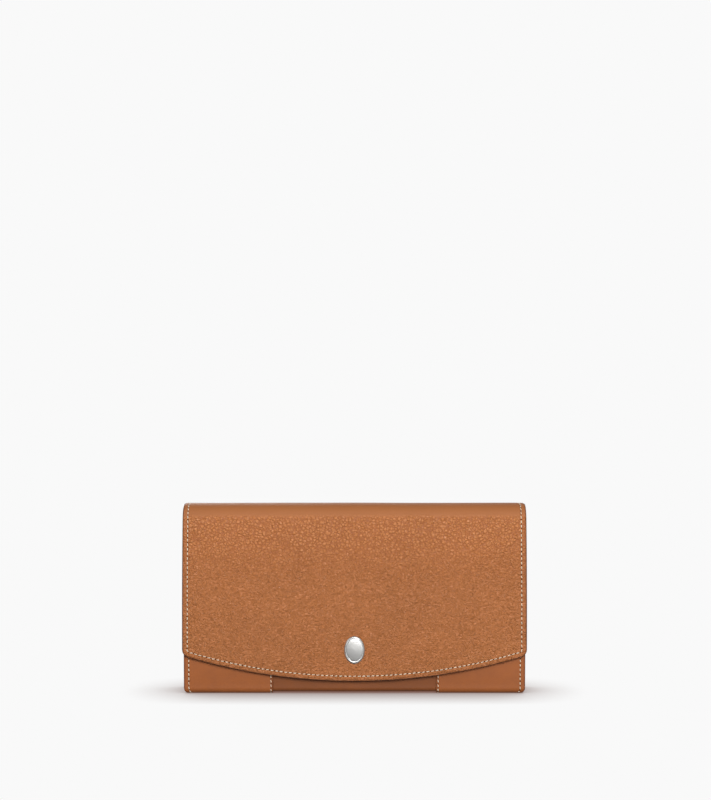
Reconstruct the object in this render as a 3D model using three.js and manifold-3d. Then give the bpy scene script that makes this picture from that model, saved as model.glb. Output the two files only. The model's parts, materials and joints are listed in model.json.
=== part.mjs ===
// A long flap wallet that stands upright on its base.
//
// A gusseted body holds two note compartments with a zipped coin pocket between them. Card strips line
// the back wall and the front wall. A laminated flap runs from the back, over the top and down the front,
// where a magnetic snap holds it, under an oval metal ornament.
//
// Millimetres, +X along the width, +Y to the back, +Z up. The origin is the middle of the footprint.
// The flap is closed. The layers of the flap, the back and the front wall all follow one side outline,
// and each is placed by its depth under the outer surface.

import * as THREE from "three";
import { mergeVertices } from "three/addons/utils/BufferGeometryUtils.js";
import Module from "manifold-3d";

const wasm = await Module();
wasm.setup();

// ---------------------------------------------------------------- driving dimensions

const flapWidth = 190;
const height = 105;
const depth = 30.4; // flap's fullest point to the back
const flapOverhang = 0.5; // beyond the body, at each side
const bodyWidth = flapWidth - 2 * flapOverhang;

// side outline
const bulgeRadius = 450; // the gentle crown of the front
const bulgeHeight = 0.4 * height; // where the front is fullest
const rearBendRadius = 9;
const frontBendRadius = 10;
const rearHingeAngle = 20; // degrees up the rear bend, where the flap folds open
const frontHingeAngle = 135; // degrees round the front bend, where the flap unrolls

// materials' thicknesses
const grainLeather = 1.2;
const panelLeather = 1.0;
const overlayLeather = 0.7;
const stripLeather = 0.6;
const gussetLeather = 0.7;
const pocketLeather = 0.8;
const boardThickness = 0.5;
const liningThickness = 0.7;
const fabricThickness = 0.3;
const glueLine = 0.1; // between two layers that are glued or sewn flat
const hingeGap = 0.3; // between two pieces that meet at a fold

// flap's outline, seen from the front
const flapEdgeHeight = 7.6; // lowest point of the curved lower edge, above the table
const flapEdgeRise = 14.3; // from there to the flap's corners
const flapEdgeRadius = ((flapWidth / 2) ** 2 + flapEdgeRise ** 2) / (2 * flapEdgeRise);
const flapCornerRadius = 4;
const liningInset = 1; // lining and board stop short of the leather's edge

// body
const flapClearance = 0.5; // flap lining to front wall
const frontWallTop = height - 15;
const bodyCornerRadius = 3; // front view, at the foot
const overlayEdge = 45.5; // half the width of the plain middle panel
const baseCornerRadius = 3.2; // side view, at the foot
const baseSeamHeight = 4; // where the base meets the walls
const innerFloor = 3.4; // lowest point of what stands inside the back wall
const sideInset = 0.4; // boards and linings stop short of the leather's side edge

// card strips: full-width strips, each with two card slots side by side
const stripHalfWidth = bodyWidth / 2 - 4;
const backStripTops = [22, 34, 46, 58].map((drop) => height - drop);
const frontStripTops = [34, 47].map((drop) => height - drop);
const stripFoot = 6;

// coin pocket: as thick as its zip needs, midway between the card strips. The note compartments take
// what is left.
const pocketFoot = 6;
const pocketTop = height - 21;
const pocketHalfWidth = bodyWidth / 2 - 2.8;
const pocketCorner = 2;
const tapeThickness = 0.4;
const tapeDepth = 10;
const tapeRoom = 0.2; // between the teeth and the tapes' legs

// zip
const chainHalfLength = pocketHalfWidth - 11.2;
const toothPitch = 2.4;
const toothWidth = 1.3;
const chainGap = 0.3; // from the middle to a tooth's tip
const toothReach = 0.9;
const spineWidth = 0.7;
const chainHeight = 1.8;
const sliderLength = 9.5;
const sliderPlate = 0.8;
const sliderClearance = 0.2;
const pullLength = 12;
const pullWidth = 4.2;
const pullThickness = 0.8;
const pullBarRadius = 0.45;

// gussets
const gussetTop = height - 18;
const gussetFlange = 3;
const pleatDepth = 11.6;
const gussetClearance = 0.3;

// snap and ornament
const snapHeight = 24.8;
const snapFlangeRadius = 8.5;
const socketRadius = 7;
const studRadius = 6.5;
const bossRadius = 2.2;
const bossClearance = 0.7;
const snapFit = 0.3; // radial room round the snap in its holes
const snapFlange = 0.4;
const snapProud = 0.4; // the socket's and the stud's faces above their linings
const ornamentWidth = 11.5;
const ornamentHeight = 15.5;
const ornamentThickness = 1.3;
const ornamentBevel = 0.45;
const postRadius = 0.7;
const postSpacing = 5.2; // from the middle of the ornament
const postFit = 0.25;

// ---------------------------------------------------------------- derived places

const backFace = depth / 2;
const flapFace = -depth / 2;
const radians = THREE.MathUtils.degToRad;
const degrees = THREE.MathUtils.radToDeg;

const bulge = { y: flapFace + bulgeRadius, z: bulgeHeight };
const rearBend = { y: backFace - rearBendRadius, z: height - rearBendRadius };
const frontBendRise = height - frontBendRadius - bulge.z;
const frontBend = {
  y: bulge.y - Math.sqrt((bulgeRadius - frontBendRadius) ** 2 - frontBendRise ** 2),
  z: height - frontBendRadius,
};
// where the front bend runs into the bulge, as an angle round either centre
const tangentAngle = 180 - degrees(Math.asin(frontBendRise / (bulgeRadius - frontBendRadius)));

// depths under the outer surface, as [outer, inner]
const under = (layer, thickness) => [layer[1] + glueLine, layer[1] + glueLine + thickness];
const outerLeather = [0, grainLeather];
const stiffener = under(outerLeather, boardThickness);
const innerLining = under(stiffener, liningThickness);
const overlayLayer = [innerLining[1] + flapClearance, innerLining[1] + flapClearance + overlayLeather];
const centreLayer = under(overlayLayer, panelLeather);
const frontBoardLayer = under(centreLayer, boardThickness);
const frontLiningLayer = under(frontBoardLayer, liningThickness);

// Where the front surface lies, at a height and a depth under it.
function frontAt(z, under = 0) {
  return bulge.y - Math.sqrt((bulgeRadius - under) ** 2 - (z - bulge.z) ** 2);
}

// The angle round the bulge's centre at which a layer reaches a height.
function bulgeAngle(z, under = 0) {
  return 180 + degrees(Math.asin((bulge.z - z) / (bulgeRadius - under)));
}

const frontHinge = { y: frontAt(baseSeamHeight, overlayLayer[0]), z: baseSeamHeight };

// The card strips' innermost faces, and the coin pocket between them.
const stripStep = stripLeather + glueLine;
const frontStripDepth = frontLiningLayer[1] + frontStripTops.length * stripStep;
const backStripFace = backFace - innerLining[1] - backStripTops.length * stripStep;
const chainHalf = chainGap + toothReach + spineWidth;
const pocketThickness = 2 * (chainHalf + tapeRoom + tapeThickness + glueLine + pocketLeather);
const pocketMiddle = (frontAt(stripFoot, frontStripDepth) + backStripFace) / 2;
const pocketFront = pocketMiddle - pocketThickness / 2;
const pocketBack = pocketMiddle + pocketThickness / 2;

// ---------------------------------------------------------------- solids

// A closed geometry as a manifold-3d solid.
function solid(geometry) {
  const plain = (geometry.index ? geometry.toNonIndexed() : geometry.clone());
  plain.deleteAttribute("normal");
  plain.deleteAttribute("uv");
  const merged = mergeVertices(plain, 1e-4);
  return new wasm.Manifold(
    new wasm.Mesh({
      numProp: 3,
      vertProperties: new Float32Array(merged.attributes.position.array),
      triVerts: new Uint32Array(merged.index.array),
    }),
  );
}

// A manifold-3d solid as a geometry.
function geometryOf(made) {
  const { vertProperties, triVerts } = made.getMesh();
  const geometry = new THREE.BufferGeometry();
  geometry.setAttribute("position", new THREE.BufferAttribute(vertProperties, 3));
  geometry.setIndex(new THREE.BufferAttribute(triVerts, 1));
  geometry.computeVertexNormals();
  return geometry;
}

function cut(from, ...tools) {
  return geometryOf(tools.reduce((rest, tool) => rest.subtract(solid(tool)), solid(from)));
}

function join(first, ...others) {
  return geometryOf(others.reduce((sum, piece) => sum.add(solid(piece)), solid(first)));
}

function common(a, b) {
  return geometryOf(solid(a).intersect(solid(b)));
}

// A box between two corners.
function box(low, high) {
  const size = high.map((value, i) => value - low[i]);
  const middle = high.map((value, i) => (value + low[i]) / 2);
  return new THREE.BoxGeometry(...size).translate(...middle);
}

function extrude(shape, length, options = {}) {
  const plain = { depth: length, bevelEnabled: false, curveSegments: 12 };
  return new THREE.ExtrudeGeometry(shape, { ...plain, ...options });
}

// A side-view shape (y, z) run along the width, between two x.
function alongWidth(shape, from, to) {
  const basis = new THREE.Matrix4().makeBasis(
    new THREE.Vector3(0, 1, 0),
    new THREE.Vector3(0, 0, 1),
    new THREE.Vector3(1, 0, 0),
  );
  return extrude(shape, to - from).applyMatrix4(basis).translate(from, 0, 0);
}

// A front-view shape (x, z) run through the depth, between two y.
function throughDepth(shape, from, to) {
  const basis = new THREE.Matrix4().makeBasis(
    new THREE.Vector3(1, 0, 0),
    new THREE.Vector3(0, 0, 1),
    new THREE.Vector3(0, -1, 0),
  );
  return extrude(shape, to - from).applyMatrix4(basis).translate(0, to, 0);
}

// ---------------------------------------------------------------- side outline

function arcPoints(centre, radius, from, to, steps) {
  return Array.from({ length: steps + 1 }, (_, i) => {
    const angle = radians(from + ((to - from) * i) / steps);
    return new THREE.Vector2(centre.y + radius * Math.cos(angle), centre.z + radius * Math.sin(angle));
  });
}

// A stretch of outline gives its points at a depth under the outer surface.
function bend(centre, radius, from, to, steps = 8) {
  return (under) => arcPoints(centre, radius - under, from, to, steps);
}

function upTheBack(from, to) {
  return (under) => [from, to].map((z) => new THREE.Vector2(backFace - under, z));
}

// A closed shape from points, without the repeats that two stretches share.
function outline(points) {
  return new THREE.Shape(points.filter((p, i) => i === 0 || p.distanceTo(points[i - 1]) > 1e-3));
}

// The band between two depths along some stretches.
function band(stretches, [outer, inner]) {
  const along = (under) => stretches.flatMap((stretch) => stretch(under));
  return outline([...along(outer), ...along(inner).reverse()]);
}

// ---------------------------------------------------------------- flap

// The flap seen from the front: straight sides, and a long curved lower edge with rounded corners.
function flapOutline(inset) {
  const half = flapWidth / 2 - inset;
  const edge = flapEdgeRadius - inset;
  const corner = flapCornerRadius;
  const centreZ = flapEdgeHeight + flapEdgeRadius;
  const cornerX = half - corner;
  const cornerZ = centreZ - Math.sqrt((edge - corner) ** 2 - cornerX ** 2);
  const join = Math.asin(cornerX / (edge - corner));
  const shape = new THREE.Shape();
  shape.moveTo(half, height + 1);
  shape.lineTo(-half, height + 1);
  shape.absarc(-cornerX, cornerZ, corner, Math.PI, 1.5 * Math.PI - join, false);
  shape.absarc(0, centreZ, edge, 1.5 * Math.PI - join, 1.5 * Math.PI + join, false);
  shape.absarc(cornerX, cornerZ, corner, 1.5 * Math.PI + join, 2 * Math.PI, false);
  return shape;
}

function flapTopLayer(layer, inset) {
  const half = flapWidth / 2 - inset;
  const rearGap = degrees(hingeGap / 2 / rearBendRadius);
  const frontGap = degrees(hingeGap / 2 / frontBendRadius);
  const stretches = [
    bend(rearBend, rearBendRadius, rearHingeAngle + rearGap, 90),
    bend(frontBend, frontBendRadius, 90, frontHingeAngle - frontGap),
  ];
  return alongWidth(band(stretches, layer), -half, half);
}

function flapFrontLayer(layer, inset) {
  const half = flapWidth / 2 + 1;
  const frontGap = degrees(hingeGap / 2 / frontBendRadius);
  const stretches = [
    bend(frontBend, frontBendRadius, frontHingeAngle + frontGap, tangentAngle, 5),
    bend(bulge, bulgeRadius, tangentAngle, bulgeAngle(0), 12),
  ];
  const run = alongWidth(band(stretches, layer), -half, half);
  return common(run, throughDepth(flapOutline(inset), flapFace - 1, backFace));
}

// ---------------------------------------------------------------- snap and ornament

// The snap and the ornament share one axis, square to the front's curve. In this group +Z points out of
// the flap and z = 0 is its outer surface, so a depth under the surface is -z.
const snapTilt = Math.asin((bulge.z - snapHeight) / bulgeRadius);
function snapGroup() {
  const group = new THREE.Group();
  const out = bulgeRadius * Math.cos(snapTilt);
  const down = bulgeRadius * Math.sin(snapTilt);
  group.position.set(0, bulge.y - out, bulge.z - down);
  group.rotation.x = Math.PI / 2 + snapTilt;
  group.updateMatrix();
  return group;
}

// A round piece on the snap's axis from [radius, z] pairs that start and end on the axis.
function turned(profile, segments = 40) {
  const points = profile.map(([radius, z]) => new THREE.Vector2(radius, z));
  return new THREE.LatheGeometry(points, segments).rotateX(Math.PI / 2);
}

function rod(radius, from, to, x = 0, y = 0) {
  return new THREE.CylinderGeometry(radius, radius, to - from, 24)
    .rotateX(Math.PI / 2)
    .translate(x, y, (from + to) / 2);
}

// A hole through a layer, round the snap's axis.
function snapHole(radius, layer) {
  return rod(radius, -layer[1] - 1, -layer[0] + 1).applyMatrix4(snapGroup().matrix);
}

function postHoles() {
  return [-postSpacing, postSpacing].map((y) =>
    rod(postRadius + postFit, -grainLeather - 1, 1, 0, y).applyMatrix4(snapGroup().matrix),
  );
}

const socketFlangeDepth = (stiffener[0] + stiffener[1] - snapFlange) / 2;
const socketFace = innerLining[1] + snapProud;
const socketHoleFloor = socketFlangeDepth + snapFlange + 0.3;
const studFlangeDepth = (frontBoardLayer[0] + frontBoardLayer[1] - snapFlange) / 2;
const studFace = centreLayer[0] - snapProud - 0.1;
const bossTip = socketHoleFloor + 0.25;

function snapSocket() {
  const blank = turned([
    [0, -socketHoleFloor],
    [bossRadius + bossClearance, -socketHoleFloor],
    [bossRadius + bossClearance, -socketFace],
    [socketRadius, -socketFace],
    [socketRadius, -socketFlangeDepth - snapFlange],
    [snapFlangeRadius, -socketFlangeDepth - snapFlange],
    [snapFlangeRadius, -socketFlangeDepth],
    [0, -socketFlangeDepth],
  ]);
  const holes = [-postSpacing, postSpacing].map((y) =>
    rod(postRadius + postFit, -socketFlangeDepth - snapFlange - 0.6, 0, 0, y),
  );
  return cut(blank, ...holes);
}

function snapStud() {
  return turned([
    [0, -studFlangeDepth - snapFlange],
    [snapFlangeRadius, -studFlangeDepth - snapFlange],
    [snapFlangeRadius, -studFlangeDepth],
    [studRadius, -studFlangeDepth],
    [studRadius, -studFace],
    [bossRadius, -studFace],
    [bossRadius, -bossTip],
    [0, -bossTip],
  ]);
}

function ornament() {
  const seat = 0.15; // clear of the curved leather
  const half = { x: ornamentWidth / 2 - ornamentBevel, y: ornamentHeight / 2 - ornamentBevel };
  const shape = new THREE.Shape();
  shape.absellipse(0, 0, half.x, half.y, 0, 2 * Math.PI);
  const plate = extrude(shape, ornamentThickness - 2 * ornamentBevel, {
    bevelEnabled: true,
    bevelSize: ornamentBevel,
    bevelThickness: ornamentBevel,
    bevelSegments: 3,
    curveSegments: 28,
  }).translate(0, 0, seat + ornamentBevel);
  const postEnd = -socketFlangeDepth - snapFlange - 0.4;
  const posts = [-postSpacing, postSpacing].map((y) => rod(postRadius, postEnd, seat + ornamentBevel, 0, y));
  return join(plate, ...posts);
}

// ---------------------------------------------------------------- front wall

function frontLayer(layer, from, to, bottom, top) {
  const stretches = [bend(bulge, bulgeRadius, bulgeAngle(top, layer[0]), bulgeAngle(bottom, layer[0]), 10)];
  return alongWidth(band(stretches, layer), from, to);
}

const frontFoot = baseSeamHeight + hingeGap;

function frontStrip(index) {
  const outer = frontLiningLayer[1] + glueLine + index * stripStep;
  const layer = [outer, outer + stripLeather];
  return frontLayer(layer, -stripHalfWidth, stripHalfWidth, stripFoot, frontStripTops[index]);
}

// ---------------------------------------------------------------- back wall and base

function backLayer(layer, halfWidth, bottom) {
  const gap = degrees(hingeGap / 2 / rearBendRadius);
  const stretches = [
    upTheBack(bottom, rearBend.z),
    bend(rearBend, rearBendRadius, 0, rearHingeAngle - gap, 3),
  ];
  return alongWidth(band(stretches, layer), -halfWidth, halfWidth);
}

function backStrip(index) {
  const outer = innerLining[1] + glueLine + index * stripStep;
  const face = backFace - outer;
  const low = [-stripHalfWidth, face - stripLeather, innerFloor];
  return box(low, [stripHalfWidth, face, backStripTops[index]]);
}

// The body seen from the front, rounded at its lower corners.
function bodyOutline() {
  const half = bodyWidth / 2;
  const corner = bodyCornerRadius;
  const shape = new THREE.Shape();
  shape.moveTo(half, height);
  shape.lineTo(-half, height);
  shape.absarc(-half + corner, corner, corner, Math.PI, 1.5 * Math.PI, false);
  shape.absarc(half - corner, corner, corner, 1.5 * Math.PI, 2 * Math.PI, false);
  return shape;
}

// The foot of the wallet, a shallow trough under both walls. Depths count from the overlays' surface.
function baseLayer([outer, inner], from, to) {
  const r = baseCornerRadius;
  const along = (under) => [
    new THREE.Vector2(frontHinge.y + under, baseSeamHeight),
    ...arcPoints({ y: frontHinge.y + r, z: r }, r - under, 180, 270, 6),
    ...arcPoints({ y: backFace - r, z: r }, r - under, 270, 360, 6),
    new THREE.Vector2(backFace - under, baseSeamHeight),
  ];
  const run = alongWidth(outline([...along(outer), ...along(inner).reverse()]), from, to);
  return common(run, throughDepth(bodyOutline(), flapFace, backFace + 1));
}

const baseOverlay = [0, overlayLeather];
const basePanel = under(baseOverlay, panelLeather);

function baseSlab(thickness, bottom) {
  const half = bodyWidth / 2 - bodyCornerRadius;
  const front = frontHinge.y + baseCornerRadius;
  return box([-half, front, bottom], [half, backFace - baseCornerRadius, bottom + thickness]);
}

// ---------------------------------------------------------------- coin pocket

// A trough shape open at the top, seen from the end.
function trough(halfWidth, thickness, foot, top, corner) {
  const outer = corner;
  const inner = Math.max(corner - thickness, 0.2);
  const wall = (half, radius, floor) => [
    new THREE.Vector2(pocketMiddle - half, top),
    ...arcPoints({ y: pocketMiddle - half + radius, z: floor + radius }, radius, 180, 270, 4),
    ...arcPoints({ y: pocketMiddle + half - radius, z: floor + radius }, radius, 270, 360, 4),
    new THREE.Vector2(pocketMiddle + half, top),
  ];
  return outline([
    ...wall(halfWidth, outer, foot),
    ...wall(halfWidth - thickness, inner, foot + thickness).reverse(),
  ]);
}

const tapeFoot = pocketTop - tapeDepth;
const tapeOuter = pocketThickness / 2 - pocketLeather - glueLine;
const chainTop = pocketTop + 2;
const chainBottom = chainTop - chainHeight;

function pocketShell() {
  return alongWidth(
    trough(pocketThickness / 2, pocketLeather, pocketFoot, pocketTop, pocketCorner),
    -pocketHalfWidth,
    pocketHalfWidth,
  );
}

function pocketLining() {
  const foot = pocketFoot + pocketLeather + glueLine;
  const corner = pocketCorner - pocketLeather;
  return alongWidth(
    trough(tapeOuter, fabricThickness, foot, tapeFoot - glueLine, corner),
    -pocketHalfWidth + 1,
    pocketHalfWidth - 1,
  );
}

// A tape: a leg inside the pocket's wall, with a lip at the top that reaches the teeth. side is -1 or 1.
function zipTape(side) {
  const lip = (chainTop + chainBottom) / 2;
  const at = (across, z) => new THREE.Vector2(pocketMiddle + side * across, z);
  const points = [
    at(tapeOuter, tapeFoot),
    at(tapeOuter, lip + tapeThickness / 2),
    at(chainHalf + 0.05, lip + tapeThickness / 2),
    at(chainHalf + 0.05, lip - tapeThickness / 2),
    at(tapeOuter - tapeThickness, lip - tapeThickness / 2),
    at(tapeOuter - tapeThickness, tapeFoot),
  ];
  return alongWidth(new THREE.Shape(points), -chainHalfLength - 6, chainHalfLength + 6);
}

// One row of teeth on its spine, as a comb. The two rows stand half a pitch apart.
function zipTeeth(side) {
  const shift = side > 0 ? toothPitch / 2 : 0;
  const count = Math.floor((2 * chainHalfLength - shift - toothWidth) / toothPitch);
  const at = (x, across) => new THREE.Vector2(x, pocketMiddle + side * across);
  const root = chainGap + toothReach;
  const points = [at(chainHalfLength, chainHalf), at(-chainHalfLength, chainHalf)];
  points.push(at(-chainHalfLength, root));
  for (let i = 0; i < count; i += 1) {
    const x = -chainHalfLength + shift + 0.4 + i * toothPitch;
    points.push(at(x, root), at(x, chainGap));
    points.push(at(x + toothWidth, chainGap), at(x + toothWidth, root));
  }
  points.push(at(chainHalfLength, root));
  return extrude(new THREE.Shape(points), chainHeight).translate(0, 0, chainBottom);
}

// A stop is a clip across the end of one row, or of both.
function zipStop(x, length, low, high) {
  return box(
    [x, pocketMiddle + low, chainBottom - 0.2],
    [x + length, pocketMiddle + high, chainTop + 0.2],
  );
}

const stopGap = 0.3;
const stopLength = 2;
const sliderMiddle = chainHalfLength - sliderLength / 2 - stopGap;
const plateBottom = chainTop + sliderClearance;
const plateTop = plateBottom + sliderPlate;
const pullAxis = { x: sliderMiddle, z: plateTop + sliderClearance + pullBarRadius };

// The slider: a plate over the teeth with side lips, a plate under them, a thin web between the rows, and
// the bridge that holds the pull.
function zipSlider() {
  const half = sliderLength / 2;
  const across = pocketThickness / 2 - 0.4;
  const lip = 0.6;
  const lowerHalf = tapeOuter - tapeThickness - 0.4;
  const lowerTop = chainBottom - sliderClearance;
  const moved = ([x, y, z]) => [x, pocketMiddle + y, z];
  const at = (low, high) => box(moved(low), moved(high));
  const upper = at([-half, -across, plateBottom], [half, across, plateTop]);
  const lips = [-1, 1].map((side) => {
    const [low, high] = side < 0 ? [-across, -across + lip] : [across - lip, across];
    return at([-half, low, plateBottom - 0.6], [half, high, plateBottom + 0.1]);
  });
  const lower = at([-half, -lowerHalf, lowerTop - sliderPlate], [half, lowerHalf, lowerTop]);
  const webHalf = chainGap / 2;
  const web = at([half - 3, -webHalf, lowerTop - 0.1], [half - 0.5, webHalf, plateBottom + 0.1]);
  const bridgeTop = pullAxis.z + pullBarRadius + 1.2;
  const outerBridge = at([-2.7, -0.6, plateTop - 0.1], [2.7, 0.6, bridgeTop]);
  const window = at([-1.8, -1, plateTop], [1.8, 1, bridgeTop - 0.75]);
  return join(upper, ...lips, lower, web, cut(outerBridge, window)).translate(sliderMiddle, 0, 0);
}

// The pull: a round crossbar under the bridge, two arms past it and a tab with a rounded end.
function zipPull() {
  const half = pullWidth / 2;
  const armWindow = { from: 0.4, to: 3.6, half: 0.95 };
  const tab = new THREE.Shape();
  tab.moveTo(0, -half);
  tab.lineTo(pullLength - half, -half);
  tab.absarc(pullLength - half, 0, half, -Math.PI / 2, Math.PI / 2, false);
  tab.lineTo(0, half);
  const plate = extrude(tab, pullThickness).translate(0, 0, -pullThickness / 2);
  const window = box([-1, -armWindow.half, -1], [armWindow.to, armWindow.half, 1]);
  const bar = new THREE.CylinderGeometry(pullBarRadius, pullBarRadius, pullWidth, 16);
  return join(cut(plate, window), bar);
}

// ---------------------------------------------------------------- gussets

// A gusset seen from above, as a strip of even thickness folded between the back wall, the coin pocket
// and the front wall. x counts outwards from the middle of the wallet.
function gussetLine() {
  const side = bodyWidth / 2 - sideInset;
  const half = gussetLeather / 2;
  const back = backFace - innerLining[1] - gussetClearance - half;
  const front = frontAt(bulgeHeight, frontLiningLayer[1]) + gussetClearance + half;
  const frontStripFace = frontAt(bulgeHeight, frontStripDepth);
  const ridge = pocketHalfWidth + gussetClearance + half;
  const tip = side - pleatDepth;
  return [
    [side - gussetFlange, back],
    [side - half, back],
    [side - half, backStripFace - half],
    [tip, (backStripFace + pocketBack) / 2],
    [ridge, pocketBack + half],
    [ridge, pocketFront - half],
    [tip, (frontStripFace + pocketFront) / 2],
    [side - half, frontStripFace + half],
    [side - half, front],
    [side - gussetFlange, front],
  ].map(([x, y]) => new THREE.Vector2(x, y));
}

// Points beside a line, at a distance to its left, mitred at the corners.
function beside(line, distance) {
  return line.map((point, i) => {
    const into = point.clone().sub(line[Math.max(i - 1, 0)]).normalize();
    const out = line[Math.min(i + 1, line.length - 1)].clone().sub(point).normalize();
    const first = i === 0 ? out : into;
    const last = i === line.length - 1 ? into : out;
    const normal = new THREE.Vector2(-first.y - last.y, first.x + last.x).normalize();
    const stretch = 1 / Math.max(normal.dot(new THREE.Vector2(-first.y, first.x)), 0.5);
    return point.clone().addScaledVector(normal, distance * stretch);
  });
}

// The strip stands on the base. Its front half follows the crown of the front wall.
function gusset(side) {
  const line = gussetLine().map((p) => new THREE.Vector2(side * p.x, p.y));
  const half = gussetLeather / 2;
  const shape = new THREE.Shape([...beside(line, half), ...beside(line, -half).reverse()]);
  const foot = baseSeamHeight + hingeGap;
  const rows = 9;
  const strip = extrude(shape, gussetTop - foot, { steps: rows }).translate(0, 0, foot);
  const place = strip.attributes.position;
  const full = frontAt(bulgeHeight, frontLiningLayer[1]);
  for (let i = 0; i < place.count; i += 1) {
    const share = THREE.MathUtils.clamp((pocketFront - place.getY(i)) / (pocketFront - full), 0, 1);
    const retreat = frontAt(place.getZ(i), frontLiningLayer[1]) - full;
    place.setY(i, place.getY(i) + share * retreat);
  }
  return strip;
}

// ---------------------------------------------------------------- materials

function finish(color, roughness, metalness = 0) {
  return new THREE.MeshStandardMaterial({ color, roughness, metalness });
}

const grained = finish(0xb4744a, 0.5);
const smooth = finish(0xb0703f, 0.45);
const fabric = finish(0xc9a67d, 0.9);
const fibreboard = finish(0x8a6f55, 0.95);
const tape = finish(0x9c6a42, 0.9);
const steel = finish(0xd8d6d0, 0.28, 1);

function named(name, geometry, material) {
  return Object.assign(new THREE.Mesh(geometry, material), { name });
}

// ---------------------------------------------------------------- assembly

function flap() {
  const group = new THREE.Group();
  const fullHole = (radius, layer) => snapHole(radius + snapFit, layer);
  group.add(
    named("flap_top_leather", flapTopLayer(outerLeather, 0), grained),
    named("flap_top_lining", flapTopLayer(innerLining, liningInset), smooth),
    named("flap_front_leather", cut(flapFrontLayer(outerLeather, 0), ...postHoles()), grained),
    named(
      "flap_board",
      cut(flapFrontLayer(stiffener, 2 * liningInset), fullHole(snapFlangeRadius, stiffener)),
      fibreboard,
    ),
    named(
      "flap_front_lining",
      cut(flapFrontLayer(innerLining, liningInset), fullHole(socketRadius, innerLining)),
      smooth,
    ),
  );
  return group;
}

function snap() {
  const group = snapGroup();
  group.add(
    named("flap_ornament", ornament(), steel),
    named("snap_socket", snapSocket(), steel),
    named("snap_stud", snapStud(), steel),
  );
  return group;
}

function frontWall() {
  const group = new THREE.Group();
  const half = bodyWidth / 2;
  const centre = cut(
    frontLayer(centreLayer, -half, half, frontFoot, frontWallTop),
    snapHole(studRadius + snapFit, centreLayer),
  );
  const boardBlank = frontLayer(frontBoardLayer, -half + 1, half - 1, frontFoot, frontWallTop - 1);
  const overlay = (from, to) => frontLayer(overlayLayer, from, to, frontFoot, frontWallTop);
  group.add(
    named("front_side_panel_left", overlay(-half, -overlayEdge), smooth),
    named("front_side_panel_right", overlay(overlayEdge, half), smooth),
    named("front_center_panel", centre, smooth),
    named("front_board", cut(boardBlank, snapHole(snapFlangeRadius + snapFit, frontBoardLayer)), fibreboard),
    named(
      "front_lining",
      frontLayer(frontLiningLayer, -half + sideInset, half - sideInset, frontFoot, frontWallTop),
      fabric,
    ),
  );
  frontStripTops.forEach((_, i) => group.add(named(`card_strip_front_${i + 1}`, frontStrip(i), smooth)));
  return group;
}

function backWall() {
  const group = new THREE.Group();
  const half = bodyWidth / 2;
  group.add(
    named("back_panel", backLayer(outerLeather, half, baseSeamHeight + glueLine), grained),
    named("back_board", backLayer(stiffener, half - 1, innerFloor + basePanel[1]), fibreboard),
    named("back_lining", backLayer(innerLining, half - sideInset, innerFloor), fabric),
  );
  backStripTops.forEach((_, i) => group.add(named(`card_strip_back_${i + 1}`, backStrip(i), smooth)));
  return group;
}

function base() {
  const group = new THREE.Group();
  const half = bodyWidth / 2;
  const boardFloor = basePanel[1] + glueLine;
  group.add(
    named("base_overlay_left", baseLayer(baseOverlay, -half, -overlayEdge), smooth),
    named("base_overlay_right", baseLayer(baseOverlay, overlayEdge, half), smooth),
    named("base_panel", baseLayer(basePanel, -half, half), smooth),
    named("base_board", baseSlab(boardThickness, boardFloor), fibreboard),
    named("base_lining", baseSlab(liningThickness, boardFloor + boardThickness + glueLine), fabric),
  );
  return group;
}

function gussets() {
  const group = new THREE.Group();
  group.add(named("gusset_left", gusset(-1), smooth), named("gusset_right", gusset(1), smooth));
  return group;
}

function coinPocket() {
  const group = new THREE.Group();
  const closedEnd = chainHalfLength + 0.05;
  group.add(
    named("coin_pocket_shell", pocketShell(), smooth),
    named("coin_pocket_lining", pocketLining(), fabric),
    named("zip_tape_front", zipTape(-1), tape),
    named("zip_tape_back", zipTape(1), tape),
    named("zip_teeth_front", zipTeeth(-1), steel),
    named("zip_teeth_back", zipTeeth(1), steel),
    named("zip_top_stop_front", zipStop(closedEnd, stopLength, -chainHalf, -chainGap / 2), steel),
    named("zip_top_stop_back", zipStop(closedEnd, stopLength, chainGap / 2, chainHalf), steel),
    named("zip_bottom_stop", zipStop(-closedEnd - stopLength, stopLength, -chainHalf, chainHalf), steel),
    named("zip_slider", zipSlider(), steel),
  );
  const pull = named("zip_pull", zipPull(), steel);
  pull.position.set(pullAxis.x, pocketMiddle, pullAxis.z);
  pull.rotation.z = Math.PI; // it lies over the teeth, towards the middle
  group.add(pull);
  return group;
}

const wallet = new THREE.Group();
wallet.add(base(), backWall(), gussets(), frontWall(), coinPocket(), flap(), snap());

// The ornament stands proud of the flap, so the origin moves to the middle of the whole footprint.
wallet.updateMatrixWorld(true);
const bounds = new THREE.Box3().setFromObject(wallet, true);
wallet.position.y = -(bounds.min.y + bounds.max.y) / 2;

export default wallet;
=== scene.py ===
"""The looks of a long flap wallet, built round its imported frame.

Sheets of leather and lining are worked out along the wallet's side outline and given a thickness and
rounded, painted edges. Those that cross a fold bend with the two bodies that the fold joins.
Metres, +X along the width, +Y to the back, +Z up, in the frame's own place.
"""

import json
import math

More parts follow.
